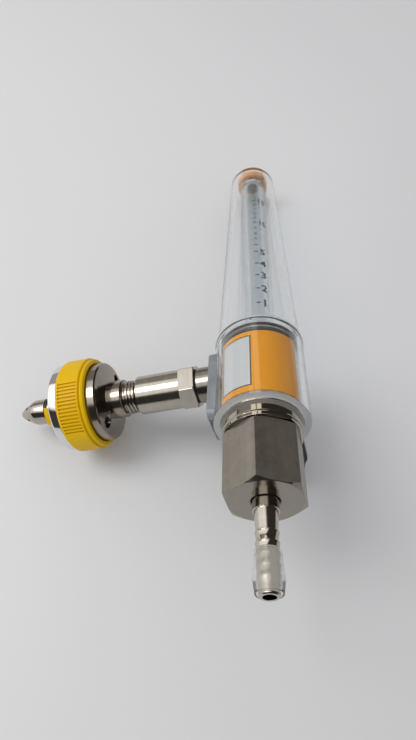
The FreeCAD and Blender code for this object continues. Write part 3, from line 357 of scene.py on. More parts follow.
print_black, ink_tree, ink_shader = start_material("scale_ink", Roughness=0.5)
speckle = ink_tree.nodes.new("ShaderNodeTexNoise")
speckle.inputs["Scale"].default_value = 3000
ink_tree.links.new(axis_vector(ink_tree, "Z", TUBE_AXIS), speckle.inputs["Vector"])
ink_tree.links.new(blend_colour(ink_tree, speckle.outputs[0], (0.006, 0.006, 0.008), (0.03, 0.03, 0.034)),
                   ink_shader.inputs["Base Color"])
TUBE_RADIUS = 6.2
INK = 0.03
NUMERAL_HEIGHT = 3.9
SCALE = {"1": 32.0, "2": 40.9, "3": 49.7, "4": 57.7, "5": 66.2, "10": 89.4, "15": 108.9}
MINOR_MARKS = (71.4, 76.3, 80.2, 84.7, 93.4, 97.3, 101.2, 105.0)


def wrap_print(piece, degrees, height, radius):
    """Bend a flat print, drawn in millimetres about its middle, round the tube."""
    for vertex in piece.data.vertices:
        turn = math.radians(degrees) + vertex.co.x / radius
        out = radius + vertex.co.z
        vertex.co = Vector((out * math.cos(turn), TUBE_AXIS[1] + out * math.sin(turn),
                            height + vertex.co.y)) * MM


def joined(name, pieces):
    """Join pieces into one and name it."""
    pick(*pieces)
    bpy.ops.object.join()
    whole = bpy.context.object
    whole.name = whole.data.name = name
    return whole


prints = []
for text, height in SCALE.items():
    bpy.ops.object.text_add()
    numeral = bpy.context.object
    numeral.data.body = text
    numeral.data.align_x = "CENTER"
    numeral.data.align_y = "CENTER"
    numeral.data.size = NUMERAL_HEIGHT / 0.7
    numeral.data.offset = 0.12
    numeral.data.extrude = INK
    bpy.ops.object.convert(target="MESH")
    numeral = bpy.context.object
    edit(numeral)
    bpy.ops.mesh.select_all(action="SELECT")
    bpy.ops.mesh.remove_doubles(threshold=0.0001)
    bpy.ops.mesh.normals_make_consistent(inside=False)
    bpy.ops.transform.resize(value=(1 / len(text) ** 0.4, 1, 1), center_override=(0, 0, 0))
    bpy.ops.mesh.subdivide(number_cuts=1)
    bpy.ops.object.mode_set(mode="OBJECT")
    wrap_print(numeral, -141 + 6 * (len(text) - 1), height, TUBE_RADIUS)
    prints.append(numeral)
for height, width in [(mark, 1.5) for mark in SCALE.values()] + [(mark, 1.1) for mark in MINOR_MARKS]:
    bpy.ops.mesh.primitive_cube_add(size=1)
    dash = bpy.context.object
    edit(dash)
    bpy.ops.transform.resize(value=(width, 0.7, 2 * INK), center_override=(0, 0, 0))
    bpy.ops.mesh.subdivide(number_cuts=4)
    bpy.ops.object.mode_set(mode="OBJECT")
    wrap_print(dash, -165, height, TUBE_RADIUS)
    prints.append(dash)
fit(joined("scale_print", prints), print_black, "meter", "black_plastic")

# Float and its stops
# A black ball that the air lifts up the bore, with a pierced plastic plug above it and another
# below it, so that it stays in the tube.
float_black, float_tree, float_shader = start_material("ball_black", Base_Color=(0.012, 0.012, 0.014, 1))
float_grain = float_tree.nodes.new("ShaderNodeTexNoise")
float_grain.inputs["Scale"].default_value = 900
float_tree.links.new(axis_vector(float_tree, "Z", TUBE_AXIS), float_grain.inputs["Vector"])
float_tree.links.new(spread(float_tree, float_grain.outputs[0], 0.15, 0.35),
                     float_shader.inputs["Roughness"])
bpy.ops.mesh.primitive_uv_sphere_add(segments=64, ring_count=32, radius=2.38 * MM,
                                     location=(0, TUBE_AXIS[1] * MM, 128.99 * MM))
ball = bpy.context.object
ball.name = ball.data.name = "rising_ball"
bpy.ops.object.transform_apply()
bpy.ops.object.shade_smooth()
fit(ball, float_black, "float", "float_black", "float_ball")


# Moulded skin: slight clouds in the colour and the gloss, and a faint grain
skin, skin_in, skin_out = node_group(
    "moulded_skin",
    [("Vector", "NodeSocketVector"), ("Scale", "NodeSocketFloat"), ("Dull", "NodeSocketFloat")],
    [("Cloud", "NodeSocketFloat"), ("Roughness", "NodeSocketFloat")])
cloud = skin.nodes.new("ShaderNodeTexNoise")
cloud.inputs["Detail"].default_value = 4
skin.links.new(skin_in.outputs["Vector"], cloud.inputs["Vector"])
skin.links.new(skin_in.outputs["Scale"], cloud.inputs["Scale"])
skin.links.new(cloud.outputs[0], skin_out.inputs["Cloud"])
skin.links.new(join_math(skin, "MULTIPLY", skin_in.outputs["Dull"],
                         spread(skin, cloud.outputs[0], 0.8, 1.25)),
               skin_out.inputs["Roughness"])


def moulded(name, low, high, roughness, scale=700, depth=0.01, **sockets):
    """Plain moulded plastic with slight cloudiness and a faint skin texture."""
    material, tree, shader = start_material(name, **sockets)
    place = tree.nodes.new("ShaderNodeTexCoord")
    group = place_group(tree, skin, place.outputs["Object"], Scale=scale, Dull=roughness)
    tree.links.new(blend_colour(tree, group.outputs["Cloud"], low, high), shader.inputs["Base Color"])
    tree.links.new(group.outputs["Roughness"], shader.inputs["Roughness"])
    bump(tree, shader, group.outputs["Cloud"], depth)
    return material


white_plastic = moulded("moulded_white", (0.74, 0.74, 0.71), (0.82, 0.82, 0.80), 0.45)
stop_plug = turned("stop_plug", [(1.2, 131.4), (3.3, 131.4), (3.3, 132.6), (1.2, 132.6)], "Z", TUBE_AXIS,
                   edge=0.1)
fit(stop_plug, white_plastic, "meter", "white_plastic", "float_stop")
rest_plug = turned("rest_plug", [(1.2, 8.6), (2.48, 8.6), (2.48, 14.5), (1.6, 14.5), (1.2, 13.8)], "Z",
                   TUBE_AXIS, edge=0.1)
fit(rest_plug, white_plastic, "meter", "white_plastic", "float_rest")

# Tube end pad
# A soft amber disc pressed between the tube's top and the shroud's closed end, slotted below
# so that air can pass out of the bore.
amber_rubber = moulded("amber_rubber", (0.52, 0.22, 0.05), (0.66, 0.31, 0.09), 0.4,
                       Subsurface_Weight=0.25, Subsurface_Radius=(0.002, 0.001, 0.0004))
end_pad = turned("amber_pad", [(1.2, 132.6), (7.2, 132.6), (7.6, 133.0), (7.6, 135.6), (7.2, 136.0),
                               (1.2, 136.0)],
                 "Z", TUBE_AXIS, edge=0.15)
for turn in (0, math.radians(120), math.radians(240)):
    bpy.ops.mesh.primitive_cube_add(size=1, rotation=(0, 0, turn))
    slot_tool = bpy.context.object
    slot_tool.location = Vector((4.4 * math.cos(turn), TUBE_AXIS[1] + 4.4 * math.sin(turn), 132.7)) * MM
    slot_tool.scale = (8 * MM, 1.2 * MM, 2.2 * MM)
    bpy.ops.object.transform_apply()
    combine(end_pad, slot_tool)
break_edges(end_pad, 0)
fit(end_pad, amber_rubber, "meter", "amber_pad", "tube_end_pad")

# Label
# A thin amber wrap round the core, printed with one pale field in a dark border and left
# without words. It shows through the clear sleeve.
LABEL = {"start": 128, "sweep": 118, "low": -19.6, "high": 7.9, "radius": 13.6, "thickness": 0.15}
FIELD = {"start": 131.5, "end": 179.2, "low": -17.3, "high": 5.9, "line": 0.5}


def swept_block(name, low, high, axis, through, start, sweep, steps):
    """Sweep a rectangle, given by its (radius, station) corners, round an axis."""
    along = Vector([letter == axis for letter in "XYZ"])
    first, second = {"Z": ((1, 0, 0), (0, 1, 0)), "Y": ((1, 0, 0), (0, 0, 1))}[axis]
    turn = math.radians(start)
    outward = Vector(first) * math.cos(turn) + Vector(second) * math.sin(turn)
    middle = Vector(through) + outward * (low[0] + high[0]) / 2 + along * (low[1] + high[1]) / 2
    frame_of_face = Matrix((outward, along, outward.cross(along))).transposed()
    bpy.ops.mesh.primitive_plane_add(size=1, location=middle * MM, rotation=frame_of_face.to_euler())
    piece = bpy.context.object
    piece.name = piece.data.name = name
    piece.scale = ((high[0] - low[0]) * MM, (high[1] - low[1]) * MM, 1)
    bpy.ops.object.transform_apply()
    edit(piece)
    bpy.ops.mesh.select_all(action="SELECT")
    turning = Vector(second).cross(Vector(first))
    bpy.ops.mesh.spin(steps=steps, angle=math.radians(sweep), center=Vector(through) * MM, axis=turning)
    bpy.ops.mesh.select_all(action="SELECT")
    bpy.ops.mesh.normals_make_consistent(inside=False)
    bpy.ops.object.mode_set(mode="OBJECT")
    return piece


label = swept_block("amber_wrap", (LABEL["radius"], LABEL["low"]),
                    (LABEL["radius"] + LABEL["thickness"], LABEL["high"]), "Z", TUBE_AXIS,
                    LABEL["start"], LABEL["sweep"], 58)
break_edges(label, 0)
label_paper, label_tree, label_shader = start_material("printed_amber", Roughness=0.55)
label_shader.inputs["Specular IOR Level"].default_value = 0.05
label_place = axis_vector(label_tree, "Z", TUBE_AXIS)
label_parts = label_tree.nodes.new("ShaderNodeSeparateXYZ")
label_tree.links.new(label_place, label_parts.inputs[0])
bearing = join_math(label_tree, "ARCTAN2", label_parts.outputs[1], label_parts.outputs[0])
bearing = join_math(label_tree, "MULTIPLY", bearing, 180 / math.pi)
bearing = join_math(label_tree, "MODULO", join_math(label_tree, "ADD", bearing, 360.0), 360.0)
across = join_math(label_tree, "MULTIPLY", bearing, math.radians(LABEL["radius"]))
upward = join_math(label_tree, "MULTIPLY", label_parts.outputs[2], 1000.0)


def inside_box(tree, across_value, upward_value, left, right, bottom, top):
    """1 inside a rectangle on the label, 0 outside."""
    tests = [
        join_math(tree, kind, value, limit)
        for value, low, high in ((across_value, left, right), (upward_value, bottom, top))
        for kind, limit in (("GREATER_THAN", low), ("LESS_THAN", high))
    ]
    both = join_math(tree, "MULTIPLY", tests[0], tests[1])
    return join_math(tree, "MULTIPLY", both, join_math(tree, "MULTIPLY", tests[2], tests[3]))


degree = math.radians(LABEL["radius"])
field_edges = [FIELD["start"] * degree, FIELD["end"] * degree, FIELD["low"], FIELD["high"]]
border = inside_box(label_tree, across, upward, *field_edges)
line = FIELD["line"]
field = inside_box(label_tree, across, upward, field_edges[0] + line, field_edges[1] - line,
                   field_edges[2] + line, field_edges[3] - line)
paper_cloud = label_tree.nodes.new("ShaderNodeTexNoise")
paper_cloud.inputs["Scale"].default_value = 500
label_tree.links.new(label_place, paper_cloud.inputs["Vector"])
amber = blend_colour(label_tree, paper_cloud.outputs[0], (0.60, 0.232, 0.001), (0.66, 0.265, 0.002))
grey = blend_colour(label_tree, paper_cloud.outputs[0], (0.40, 0.41, 0.42), (0.46, 0.47, 0.48))
with_border = blend_colour(label_tree, border, amber, (0.03, 0.025, 0.02))
label_tree.links.new(blend_colour(label_tree, field, with_border, grey), label_shader.inputs["Base Color"])
fit(label, label_paper, "meter", "amber_label", "label_wrap")

# Clear cover
# One clear moulding: a sleeve round the body, a rounded shoulder, a tall shroud that tapers to
# a closed end, and two flat pads with holes for the inlet stub and the valve.
cover_clear = clear_plastic("cover_clear", (0.975, 0.985, 0.985), 0.015, 1.49, (0.85, 0.86, 0.865), 0.06,
                            shine=0.3)
cover = turned("cover_moulding", [
    (1.0, 136.0), (7.0, 136.0), (8.0, 135.7), (8.75, 134.9), (8.95, 134.0), (13.13, 16.0), (13.45, 15.0),
    (14.1, 14.3), (14.3, 13.7), (14.3, -21.3), (13.66, -21.5), (13.66, -22.2), (16.0, -22.2), (16.0, 13.0),
    (16.12, 13.35), (16.26, 13.7), (16.2, 14.05), (15.75, 14.5), (15.4, 14.95), (15.24, 15.6),
    (10.95, 135.6), (10.75, 136.5), (10.2, 137.15), (9.4, 137.5), (8.6, 137.6), (1.0, 137.6),
], "Z", TUBE_AXIS, closed=False, edge=0.12, segments=160)


def pad_block(name, reach_axis, width, bottom, top, near, far):
    """Flat pad that stands out of the sleeve, its corners rounded."""
    reach, height = (near + far) / 2, (bottom + top) / 2
    middle = {"Y": (0, reach + TUBE_AXIS[1], height), "X": (reach, TUBE_AXIS[1], height)}
    size = {"Y": (width, far - near, top - bottom), "X": (far - near, width, top - bottom)}
    bpy.ops.mesh.primitive_cube_add(size=1, location=Vector(middle[reach_axis]) * MM)
    block = bpy.context.object
    block.name = name
    block.scale = Vector(size[reach_axis]) * MM
    bpy.ops.object.transform_apply()
    edit(block)
    bpy.ops.mesh.select_mode(type="EDGE")
    bpy.ops.mesh.select_all(action="DESELECT")
    bpy.ops.object.mode_set(mode="OBJECT")
    line_up = "XYZ".index(reach_axis)
    for edge in block.data.edges:
        ends = [block.data.vertices[index].co for index in edge.vertices]
        edge.select = abs(ends[0][line_up] - ends[1][line_up]) > MM
    edit(block)
    bpy.ops.mesh.bevel(offset=3.0 * MM, segments=8, affect="EDGES")
    bpy.ops.mesh.select_mode(type="VERT")
    bpy.ops.object.mode_set(mode="OBJECT")
    break_edges(block, 0.35, segments=3)
    return block


combine(cover, pad_block("inlet_pad", "Y", 16, -21.0, 8.4, 10.5, 17.0), "UNION")
combine(cover, pad_block("valve_pad", "X", 16, -21.0, 0.3, 10.5, 17.0), "UNION")
combine(cover, turned("sleeve_bore", [(14.3, -21.3), (14.3, 13.0)], "Z", TUBE_AXIS, closed=False, edge=0,
                      segments=160))
combine(cover, turned("stub_hole", [(6.65, -76), (6.65, -66)], "Y", INLET_AXIS, closed=False, edge=0))
combine(cover, turned("bonnet_hole", [(6.2, 9), (6.2, 19)], "X", VALVE_AXIS, closed=False, edge=0))
break_edges(cover, 0)
fit(cover, cover_clear, "meter", "clear_cover", "clear_cover")
sawn_end = moulded("sawn_end", (0.58, 0.60, 0.62), (0.70, 0.72, 0.74), 0.5, scale=1200,
                   Transmission_Weight=0.35)
cover.data.materials.append(sawn_end)
frosted_pad = moulded("frosted_pad", (0.46, 0.49, 0.53), (0.54, 0.57, 0.61), 0.36, scale=1200, depth=0.004,
                      Transmission_Weight=0.72)
cover.data.materials.append(frosted_pad)
for face in cover.data.polygons:
    height = face.center.z / MM
    reach = math.hypot(face.center.x, face.center.y - TUBE_AXIS[1] * MM) / MM
    if (face.normal.z < -0.7 and height < -22.1) or (reach > 15.98 and 13.2 < height < 14.3):
        face.material_index = 1
    elif reach > 16.05 and height < 13:
        face.material_index = 2

# Outlet nut
# A long hexagon bar, chamfered at both ends and bored out, that draws the nipple's head
# against the body. Its flats show drawing lines along the bar and its end shows turning rings.


def hex_bar(name, flats, low, high, axis, through, corner, chamfer_start, chamfer):
    """Hexagon bar with turned chamfers, one corner at a bearing in degrees."""
    along = Vector([letter == axis for letter in "XYZ"])
    radius = flats / math.sqrt(3)
    spin = {"Z": Matrix.Rotation(math.radians(corner - 90), 3, "Z"),
            "Y": Matrix.Rotation(-math.radians(corner + 90), 3, "Y") @ Matrix.Rotation(-math.pi / 2, 3, "X")}
    bpy.ops.mesh.primitive_cylinder_add(
        vertices=6, radius=radius * MM, depth=(high - low) * MM,
        location=(Vector(through) + along * (low + high) / 2) * MM, rotation=spin[axis].to_euler())
    bar = bpy.context.object
    bar.name = bar.data.name = name
    bpy.ops.object.transform_apply()
    break_edges(bar, 0.18)
    slope = chamfer / (radius - chamfer_start)
    rise = slope * (radius + 1 - chamfer_start)
    combine(bar, turned("chamfer_form", [(chamfer_start, low), (radius + 1, low + rise),
                                         (radius + 1, high - rise), (chamfer_start, high)], axis, through,
                                         closed=False, edge=0), "INTERSECT")
    return bar


nut = hex_bar("outlet_hexagon", 23.0, -50.6, -28.0, "Z", TUBE_AXIS, 0, 11.35, 0.9)
combine(nut, turned("nut_bore", [(4.75, -50.9), (4.65, -50.6), (4.35, -50.3), (4.35, -45.6), (7.24, -45.6),
                                 (7.24, -27)], "Z", TUBE_AXIS, closed=False, edge=0))
break_edges(nut, 0.07, angle=24)
drawn_bar = plated("drawn_nickel", "Z", TUBE_AXIS, 0.24, 0.42, dark=(0.19, 0.17, 0.14),
                   light=(0.42, 0.385, 0.335), fineness=1500, along=1.0, depth=0.006, stains=0.7, metal=0.82)
end_turned = plated("end_turned_nickel", "Z", TUBE_AXIS, 0.14, 0.24, dark=(0.29, 0.26, 0.22),
                    light=(0.38, 0.35, 0.31), fineness=2400)
fit(nut, drawn_bar, "meter", "plated_brass", "outlet_nut")
nut.data.materials.append(end_turned)
for face in nut.data.polygons:
    face.material_index = int(abs(face.normal.z) > 0.25)

# Outlet nipple
# A turned stem with a head inside the nut, a tapered neck and five barbs that grip a hose. Its
# rubber washer, inside the nut, keeps the shape that it has in the CAD.
BARBS = 5
BARB_PITCH = 3.2
FIRST_BARB = -60.3


def repaint(node, material):
    """Give its finish to a CAD piece that keeps its shape."""
    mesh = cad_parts[node].data
    mesh.materials.clear()
    mesh.materials.append(material)


nipple_outline = [(1.9, -41.8), (6.6, -41.8), (6.6, -45.6), (4.05, -45.6), (4.05, -53.8), (3.65, -53.8),
                  (3.15, FIRST_BARB)]
for barb in range(BARBS):
    crest = FIRST_BARB - BARB_PITCH * barb
    root = 3.15 if barb < BARBS - 1 else 2.9
    nipple_outline += [(3.5, crest), (3.5, crest - 0.3), (3.34, crest - 0.46), (root, crest - BARB_PITCH)]
nipple_outline += [(2.9, -77.85), (2.6, -78.2), (1.9, -78.2)]
nipple = turned("barbed_stem", nipple_outline, "Z", TUBE_AXIS, edge=0.05)
stem_plate = plated("stem_nickel", "Z", TUBE_AXIS, 0.08, 0.20, dark=(0.48, 0.44, 0.385),
                    light=(0.64, 0.60, 0.54), depth=0.003)
fit(nipple, stem_plate, "meter", "plated_brass", "outlet_nipple")
repaint("nipple_washer", rubber)

# Hose end
# A short length of soft clear hose left on the barbs. It is cloudy, thin walled and swollen where
# it passes a barb.
hose_clear = clear_plastic("cloudy_hose", (0.97, 0.965, 0.955), 0.12, 1.36, (0.88, 0.88, 0.88), 0.12)
hose = turned("hose_end", [(3.6, -65.6), (3.92, -65.6), (3.97, -67.0), (4.1, -69.4), (4.26, -71.4),
                           (4.42, -72.9), (4.5, -73.6), (4.38, -74.3), (4.2, -75.3), (4.02, -76.6),
                           (3.92, -77.4), (3.6, -77.4)],
              "Z", TUBE_AXIS, edge=0.1)
fit(hose, hose_clear, "meter", "clear_hose", "hose_sleeve")

# Inlet stub
# A turned tube screwed into the body through the cover's pad. A black washer lies against its
# end, and the seals inside the body keep the shapes that they have in the CAD.
inlet_plate = plated("inlet_nickel", "Y", INLET_AXIS, 0.10, 0.26, fineness=2300, depth=0.003)
stub_plate = plated("stub_nickel", "Y", INLET_AXIS, 0.14, 0.30, dark=(0.22, 0.20, 0.17),
                    light=(0.34, 0.31, 0.27), fineness=2300, depth=0.003)
stub = turned("screwed_stub", [(1.8, -80.5), (4.9, -80.5), (4.9, -72.5), (6.45, -72.5), (6.45, -62.8),
                               (4.9, -62.8), (4.9, -56.4), (1.8, -56.4)], "Y", INLET_AXIS, edge=0.15)
fit(stub, stub_plate, "meter", "plated_brass", "inlet_stub")
washer = turned("black_washer", [(5.0, -62.8), (6.05, -62.8), (6.05, -62.3), (5.0, -62.3)], "Y", INLET_AXIS,
                edge=0.1)
fit(washer, rubber, "meter", "black_rubber", "coupler_washer")
for node in ("inlet_seal", "bonnet_seal", "spindle_seal"):
    repaint(node, rubber)

# Inlet coupler
# One turned bar with a hexagon at its near end and a long plain barrel, that joins the stub to
# the probe. A filter of sintered bronze sits inside.
coupler = hex_bar("coupler_hexagon", 14.5, -62.3, -56.5, "Y", INLET_AXIS, -133, 7.45, 0.42)
combine(coupler, turned("barrel", [(7.1, -62.3), (7.1, -40.3), (6.9, -39.9), (6.2, -39.5)], "Y", INLET_AXIS,
                        closed=False, edge=0), "UNION")
combine(coupler, turned("coupler_bore", [(5.0, -63), (5.0, -39)], "Y", INLET_AXIS, closed=False, edge=0))
break_edges(coupler, 0.06, angle=24)
fit(coupler, inlet_plate, "meter", "plated_brass", "inlet_coupler")
bronze = moulded("bronze_grains", (0.30, 0.19, 0.07), (0.55, 0.38, 0.17), 0.55, scale=5000, depth=0.08,
                 Metallic=1.0)
repaint("inlet_filter", bronze)

# Probe body
# One turning: a threaded neck that screws into the coupler, a hub, and a thick dished disc with
# a groove round it for the clip, and two sunk holes for the screws.
disc_plate = plated("disc_nickel", "Y", INLET_AXIS, 0.12, 0.24, dark=(0.28, 0.245, 0.205),
                    light=(0.39, 0.35, 0.305), fineness=1900, depth=0.005)
probe_outline = [(1.3, -48.0), (4.9, -48.0), (4.9, -39.6), (5.25, -39.5), (5.25, -39.1)]
for radius, start in ((5.95, -39.1), (6.05, -37.9), (6.2, -36.7)):
    probe_outline += [(radius, start), (radius, start + 0.95), (radius - 0.5, start + 1.0),
                      (radius - 0.5, start + 1.15)]
probe_outline += [(5.35, -35.4), (5.35, -34.7), (6.5, -34.55), (7.0, -34.1), (7.0, -28.8),
                  (14.0, -27.95), (14.5, -27.45), (14.5, -19.6), (13.65, -19.6), (13.65, -18.4),
                  (14.5, -18.4), (14.5, -16.8), (3.5, -16.8), (3.5, -24.0), (1.3, -24.0)]
probe = turned("dished_disc", probe_outline, "Y", INLET_AXIS, edge=0.12)
SCREW_HEIGHTS = (10.5, -10.5)
for height in SCREW_HEIGHTS:
    for name, radius, near, far in (("screw_sink", 2.2, -30, -24.7), ("screw_way", 1.2, -26, -15)):
        combine(probe, turned(name, [(radius, near), (radius, far)], "Y", (0, 0, height), closed=False,
                              edge=0, segments=48))
break_edges(probe, 0)
fit(probe, disc_plate, "meter", "plated_brass", "probe_body")

# Face screws
# Two blackened socket screws, sunk in the disc, that hold the index plate from behind. Their
# sockets are hexagons.
black_steel = moulded("blackened_steel", (0.02, 0.02, 0.021), (0.10, 0.098, 0.094), 0.30, scale=2500,
                      depth=0.02, Metallic=0.8)
screws = []
for height in SCREW_HEIGHTS:
    screw = turned("socket_screw", [(1.75, -27.1), (2.0, -26.85), (2.0, -24.7), (1.1, -24.7), (1.1, -15.2)],
                   "Y", (0, 0, height), closed=False, edge=0.06, segments=48)
    bpy.ops.mesh.primitive_cylinder_add(vertices=6, radius=0.98 * MM, depth=2.4 * MM,
                                        location=Vector((0, -27.1, height)) * MM,
                                        rotation=(math.pi / 2, 0, 0))
    key_form = bpy.context.object
    bpy.ops.object.transform_apply()
    combine(screw, key_form)
    screws.append(screw)
face_screws = joined("socket_screws", screws)
break_edges(face_screws, 0)
fit(face_screws, black_steel, "meter", "dark_steel", "face_screws")

# Grip ring
# A yellow moulded ring that turns on the disc: a rolled bead at the back, and a broad band with
# three zones of narrow grooves for the fingers.
yellow = moulded("moulded_yellow", (0.66, 0.405, 0.001), (0.74, 0.46, 0.002), 0.45, scale=900, depth=0.006,
                 Specular_IOR_Level=0.18, Subsurface_Weight=0.05, Subsurface_Radius=(0.0012, 0.0009, 0.0001))
RIB_ZONES = (-136, -16, 104)
RIBS = 15
SEGMENTS = 164
grip = turned("ribbed_ring", [
    (14.85, -24.4), (15.6, -24.4), (16.2, -24.2), (16.55, -23.7), (16.6, -23.4), (16.45, -23.1),
    (16.2, -22.95), (16.2, -22.8), (16.9, -22.7), (17.1, -22.5), (17.17, -22.2), (17.2, -14.9),
    (17.1, -14.4), (16.85, -14.0), (16.4, -13.8), (15.56, -13.8), (15.56, -16.2), (14.58, -16.2),
    (14.58, -18.2), (15.05, -18.2), (15.05, -19.8), (14.58, -19.8), (14.58, -24.1),
], "Y", INLET_AXIS, edge=0, segments=SEGMENTS)
RIB_PITCH = 360 / SEGMENTS
bpy.context.tool_settings.mesh_select_mode = (False, False, True)
for face in grip.data.polygons:
    middle = face.center / MM
    on_band = math.hypot(middle.x, middle.z) > 17.0 and abs(middle.y + 18.45) < 2 and abs(face.normal.y) < 0.1
    bearing_of_face = math.degrees(math.atan2(middle.z, middle.x))
    face.select = False
    for zone in RIB_ZONES:
        faces_off = ((bearing_of_face - zone + 540) % 360 - 180) / RIB_PITCH
        if on_band and abs(faces_off) < RIBS and round(faces_off) % 2 == 0:
            face.select = True
edit(grip)
bpy.ops.mesh.inset(thickness=0.02 * MM, depth=-0.65 * MM, use_individual=True)
bpy.ops.object.mode_set(mode="OBJECT")
bpy.context.tool_settings.mesh_select_mode = (True, False, False)
break_edges(grip, 0.09)
fit(grip, yellow, "collar", "yellow_plastic", "grip_ring")

# Bezel and clip
# A polished chrome ring pressed into the grip ring's front, and the sprung wire that keeps both
# on the disc.
chrome = plated("polished_chrome", "Y", INLET_AXIS, 0.03, 0.09, dark=(0.76, 0.77, 0.78),
                light=(0.84, 0.85, 0.86), fineness=900, depth=0.0006, stains=0.3)
bezel = turned("chrome_bezel", [
    (13.68, -16.2), (15.48, -16.2), (15.48, -13.8), (16.1, -13.8), (16.3, -13.6), (16.3, -11.3),
    (16.15, -10.8), (15.8, -10.48), (15.4, -10.4), (13.3, -10.4), (12.85, -10.5), (12.5, -10.85),
    (12.4, -11.3), (12.4, -13.8), (13.68, -14.2)], "Y", INLET_AXIS, edge=0.08, segments=160)
fit(bezel, chrome, "collar", "bright_chrome", "bezel_ring")
spring_steel = plated("sprung_wire", "Y", INLET_AXIS, 0.2, 0.35, dark=(0.42, 0.42, 0.42),
                      light=(0.6, 0.6, 0.6))
repaint("collar_clip", spring_steel)

# Index plate
# A yellow moulded plate in the bezel's recess, whose long curved key fits only one gas's socket.
index_plate = turned("key_plate", [(4.9, -16.8), (12.0, -16.8), (12.0, -14.6), (4.9, -14.6)], "Y",
                     INLET_AXIS, edge=0.2)
key = swept_block("key", (5.3, -16.3), (8.2, -4.4), "Y", INLET_AXIS, -145, 48, 24)
combine(index_plate, key, "UNION")
for height in SCREW_HEIGHTS:
    combine(index_plate, turned("plate_hole", [(1.2, -17.5), (1.2, -15.1)], "Y", (0, 0, height),
                                closed=False, edge=0, segments=48))
break_edges(index_plate, 0.12)
fit(index_plate, yellow, "meter", "yellow_plastic", "index_plate")

# Probe pin
# A turned pin with a groove for its black seal, a polished land and a tapered nose, drilled
# crosswise near the tip for the air.
pin_plate = plated("pin_nickel", "Y", INLET_AXIS, 0.10, 0.22, fineness=2600, depth=0.003)
pin = turned("plug_pin", [
    (1.3, 6.66), (1.3, -23.0), (3.4, -23.0), (3.4, -16.8), (4.8, -16.8), (4.8, -3.8), (3.85, -3.8),
    (3.85, -2.2), (4.8, -2.2), (4.8, 2.2), (4.42, 3.6), (2.14, 7.8), (1.3, 8.78), (0.78, 9.2), (0.2, 9.2),
], "Y", INLET_AXIS, closed=False, edge=0.12)
for turn in (0, 90):
    bpy.ops.mesh.primitive_cylinder_add(vertices=40, radius=0.65 * MM, depth=12 * MM,
                                        location=(0, 5.8 * MM, 0), rotation=(0, math.radians(turn), 0))
    port_drill = bpy.context.object
    bpy.ops.object.transform_apply()
    combine(pin, port_drill)
break_edges(pin, 0)
fit(pin, pin_plate, "meter", "plated_brass", "probe_pin")
fit(rubber_ring("pin_ring", 4.45, -3.0, 0.55, "Y", INLET_AXIS), rubber, "meter", "black_rubber",
    "probe_seal")

# Control valve
# On the far side, a plated bonnet screwed into the body carries the spindle; a white disc on the
# spindle's end closes the seat.
valve_plate = plated("valve_nickel", "X", VALVE_AXIS, 0.10, 0.26, fineness=2300, depth=0.003)
bonnet = turned("screwed_bonnet", [
    (3.0, 8.6), (4.2, 8.6), (4.2, 12.4), (6.0, 12.4), (6.0, 17.2), (5.7, 17.4), (5.7, 17.8), (6.0, 18.0),
    (6.0, 18.6), (5.0, 18.6), (5.0, 20.2), (1.9, 20.2), (1.9, 12.4), (3.0, 12.4)], "X", VALVE_AXIS,
    edge=0.15)
fit(bonnet, valve_plate, "meter", "plated_brass", "valve_bonnet")
spindle = turned("valve_stem", [(0.9, 5.03), (0.9, 6.5), (1.85, 6.5), (1.85, 36.0), (1.05, 36.0),
                                (1.05, 33.2)],
                 "X", VALVE_AXIS, closed=False, edge=0.1)
fit(spindle, valve_plate, "knob", "plated_brass", "valve_spindle")
repaint("seat_disc", white_plastic)

# Control knob
# A black moulded cap with nine scooped flutes, hollow behind, held on the spindle by a screw in
# its face.
black_plastic = moulded("moulded_black", (0.006, 0.006, 0.007), (0.016, 0.016, 0.018), 0.42, scale=1800,
                        depth=0.02)
FLUTES = 9
FLUTE_REACH = 11.7
knob = turned("fluted_cap", [
    (9.9, 21.6), (10.2, 21.9), (9.9, 39.9), (9.6, 40.6), (9.1, 41.0), (7.4, 41.0), (7.0, 40.7), (2.8, 40.7),
    (2.8, 39.2), (1.05, 39.2), (1.05, 36.0), (1.85, 36.0), (1.85, 21.6), (3.8, 21.6), (3.8, 37.4),
    (7.0, 37.4), (7.4, 21.6),
], "X", VALVE_AXIS, edge=0)
for flute in range(FLUTES):
    turn = math.tau * flute / FLUTES
    middle = (0, VALVE_AXIS[1] + FLUTE_REACH * math.cos(turn), VALVE_AXIS[2] + FLUTE_REACH * math.sin(turn))
    combine(knob, turned("flute_form", [(2.6, 22.6), (2.6, 42.5)], "X", middle, closed=False, edge=0,
                         segments=40))
break_edges(knob, 0.2)
fit(knob, black_plastic, "knob", "black_plastic", "control_knob")
cap_screw = turned("cap_screw", [(1.0, 33.25), (1.0, 39.2), (2.6, 39.2), (2.6, 40.0), (2.3, 40.4),
                                 (1.8, 40.6)],
                   "X", VALVE_AXIS, closed=False, edge=0.08, segments=64)
bpy.ops.mesh.primitive_cube_add(size=1, location=Vector((40.6, VALVE_AXIS[1], VALVE_AXIS[2])) * MM)
driver_slot = bpy.context.object
driver_slot.scale = Vector((1.4, 6.0, 0.6)) * MM
bpy.ops.object.transform_apply()
combine(cap_screw, driver_slot)
break_edges(cap_screw, 0)
fit(cap_screw, black_steel, "knob", "dark_steel", "knob_screw")

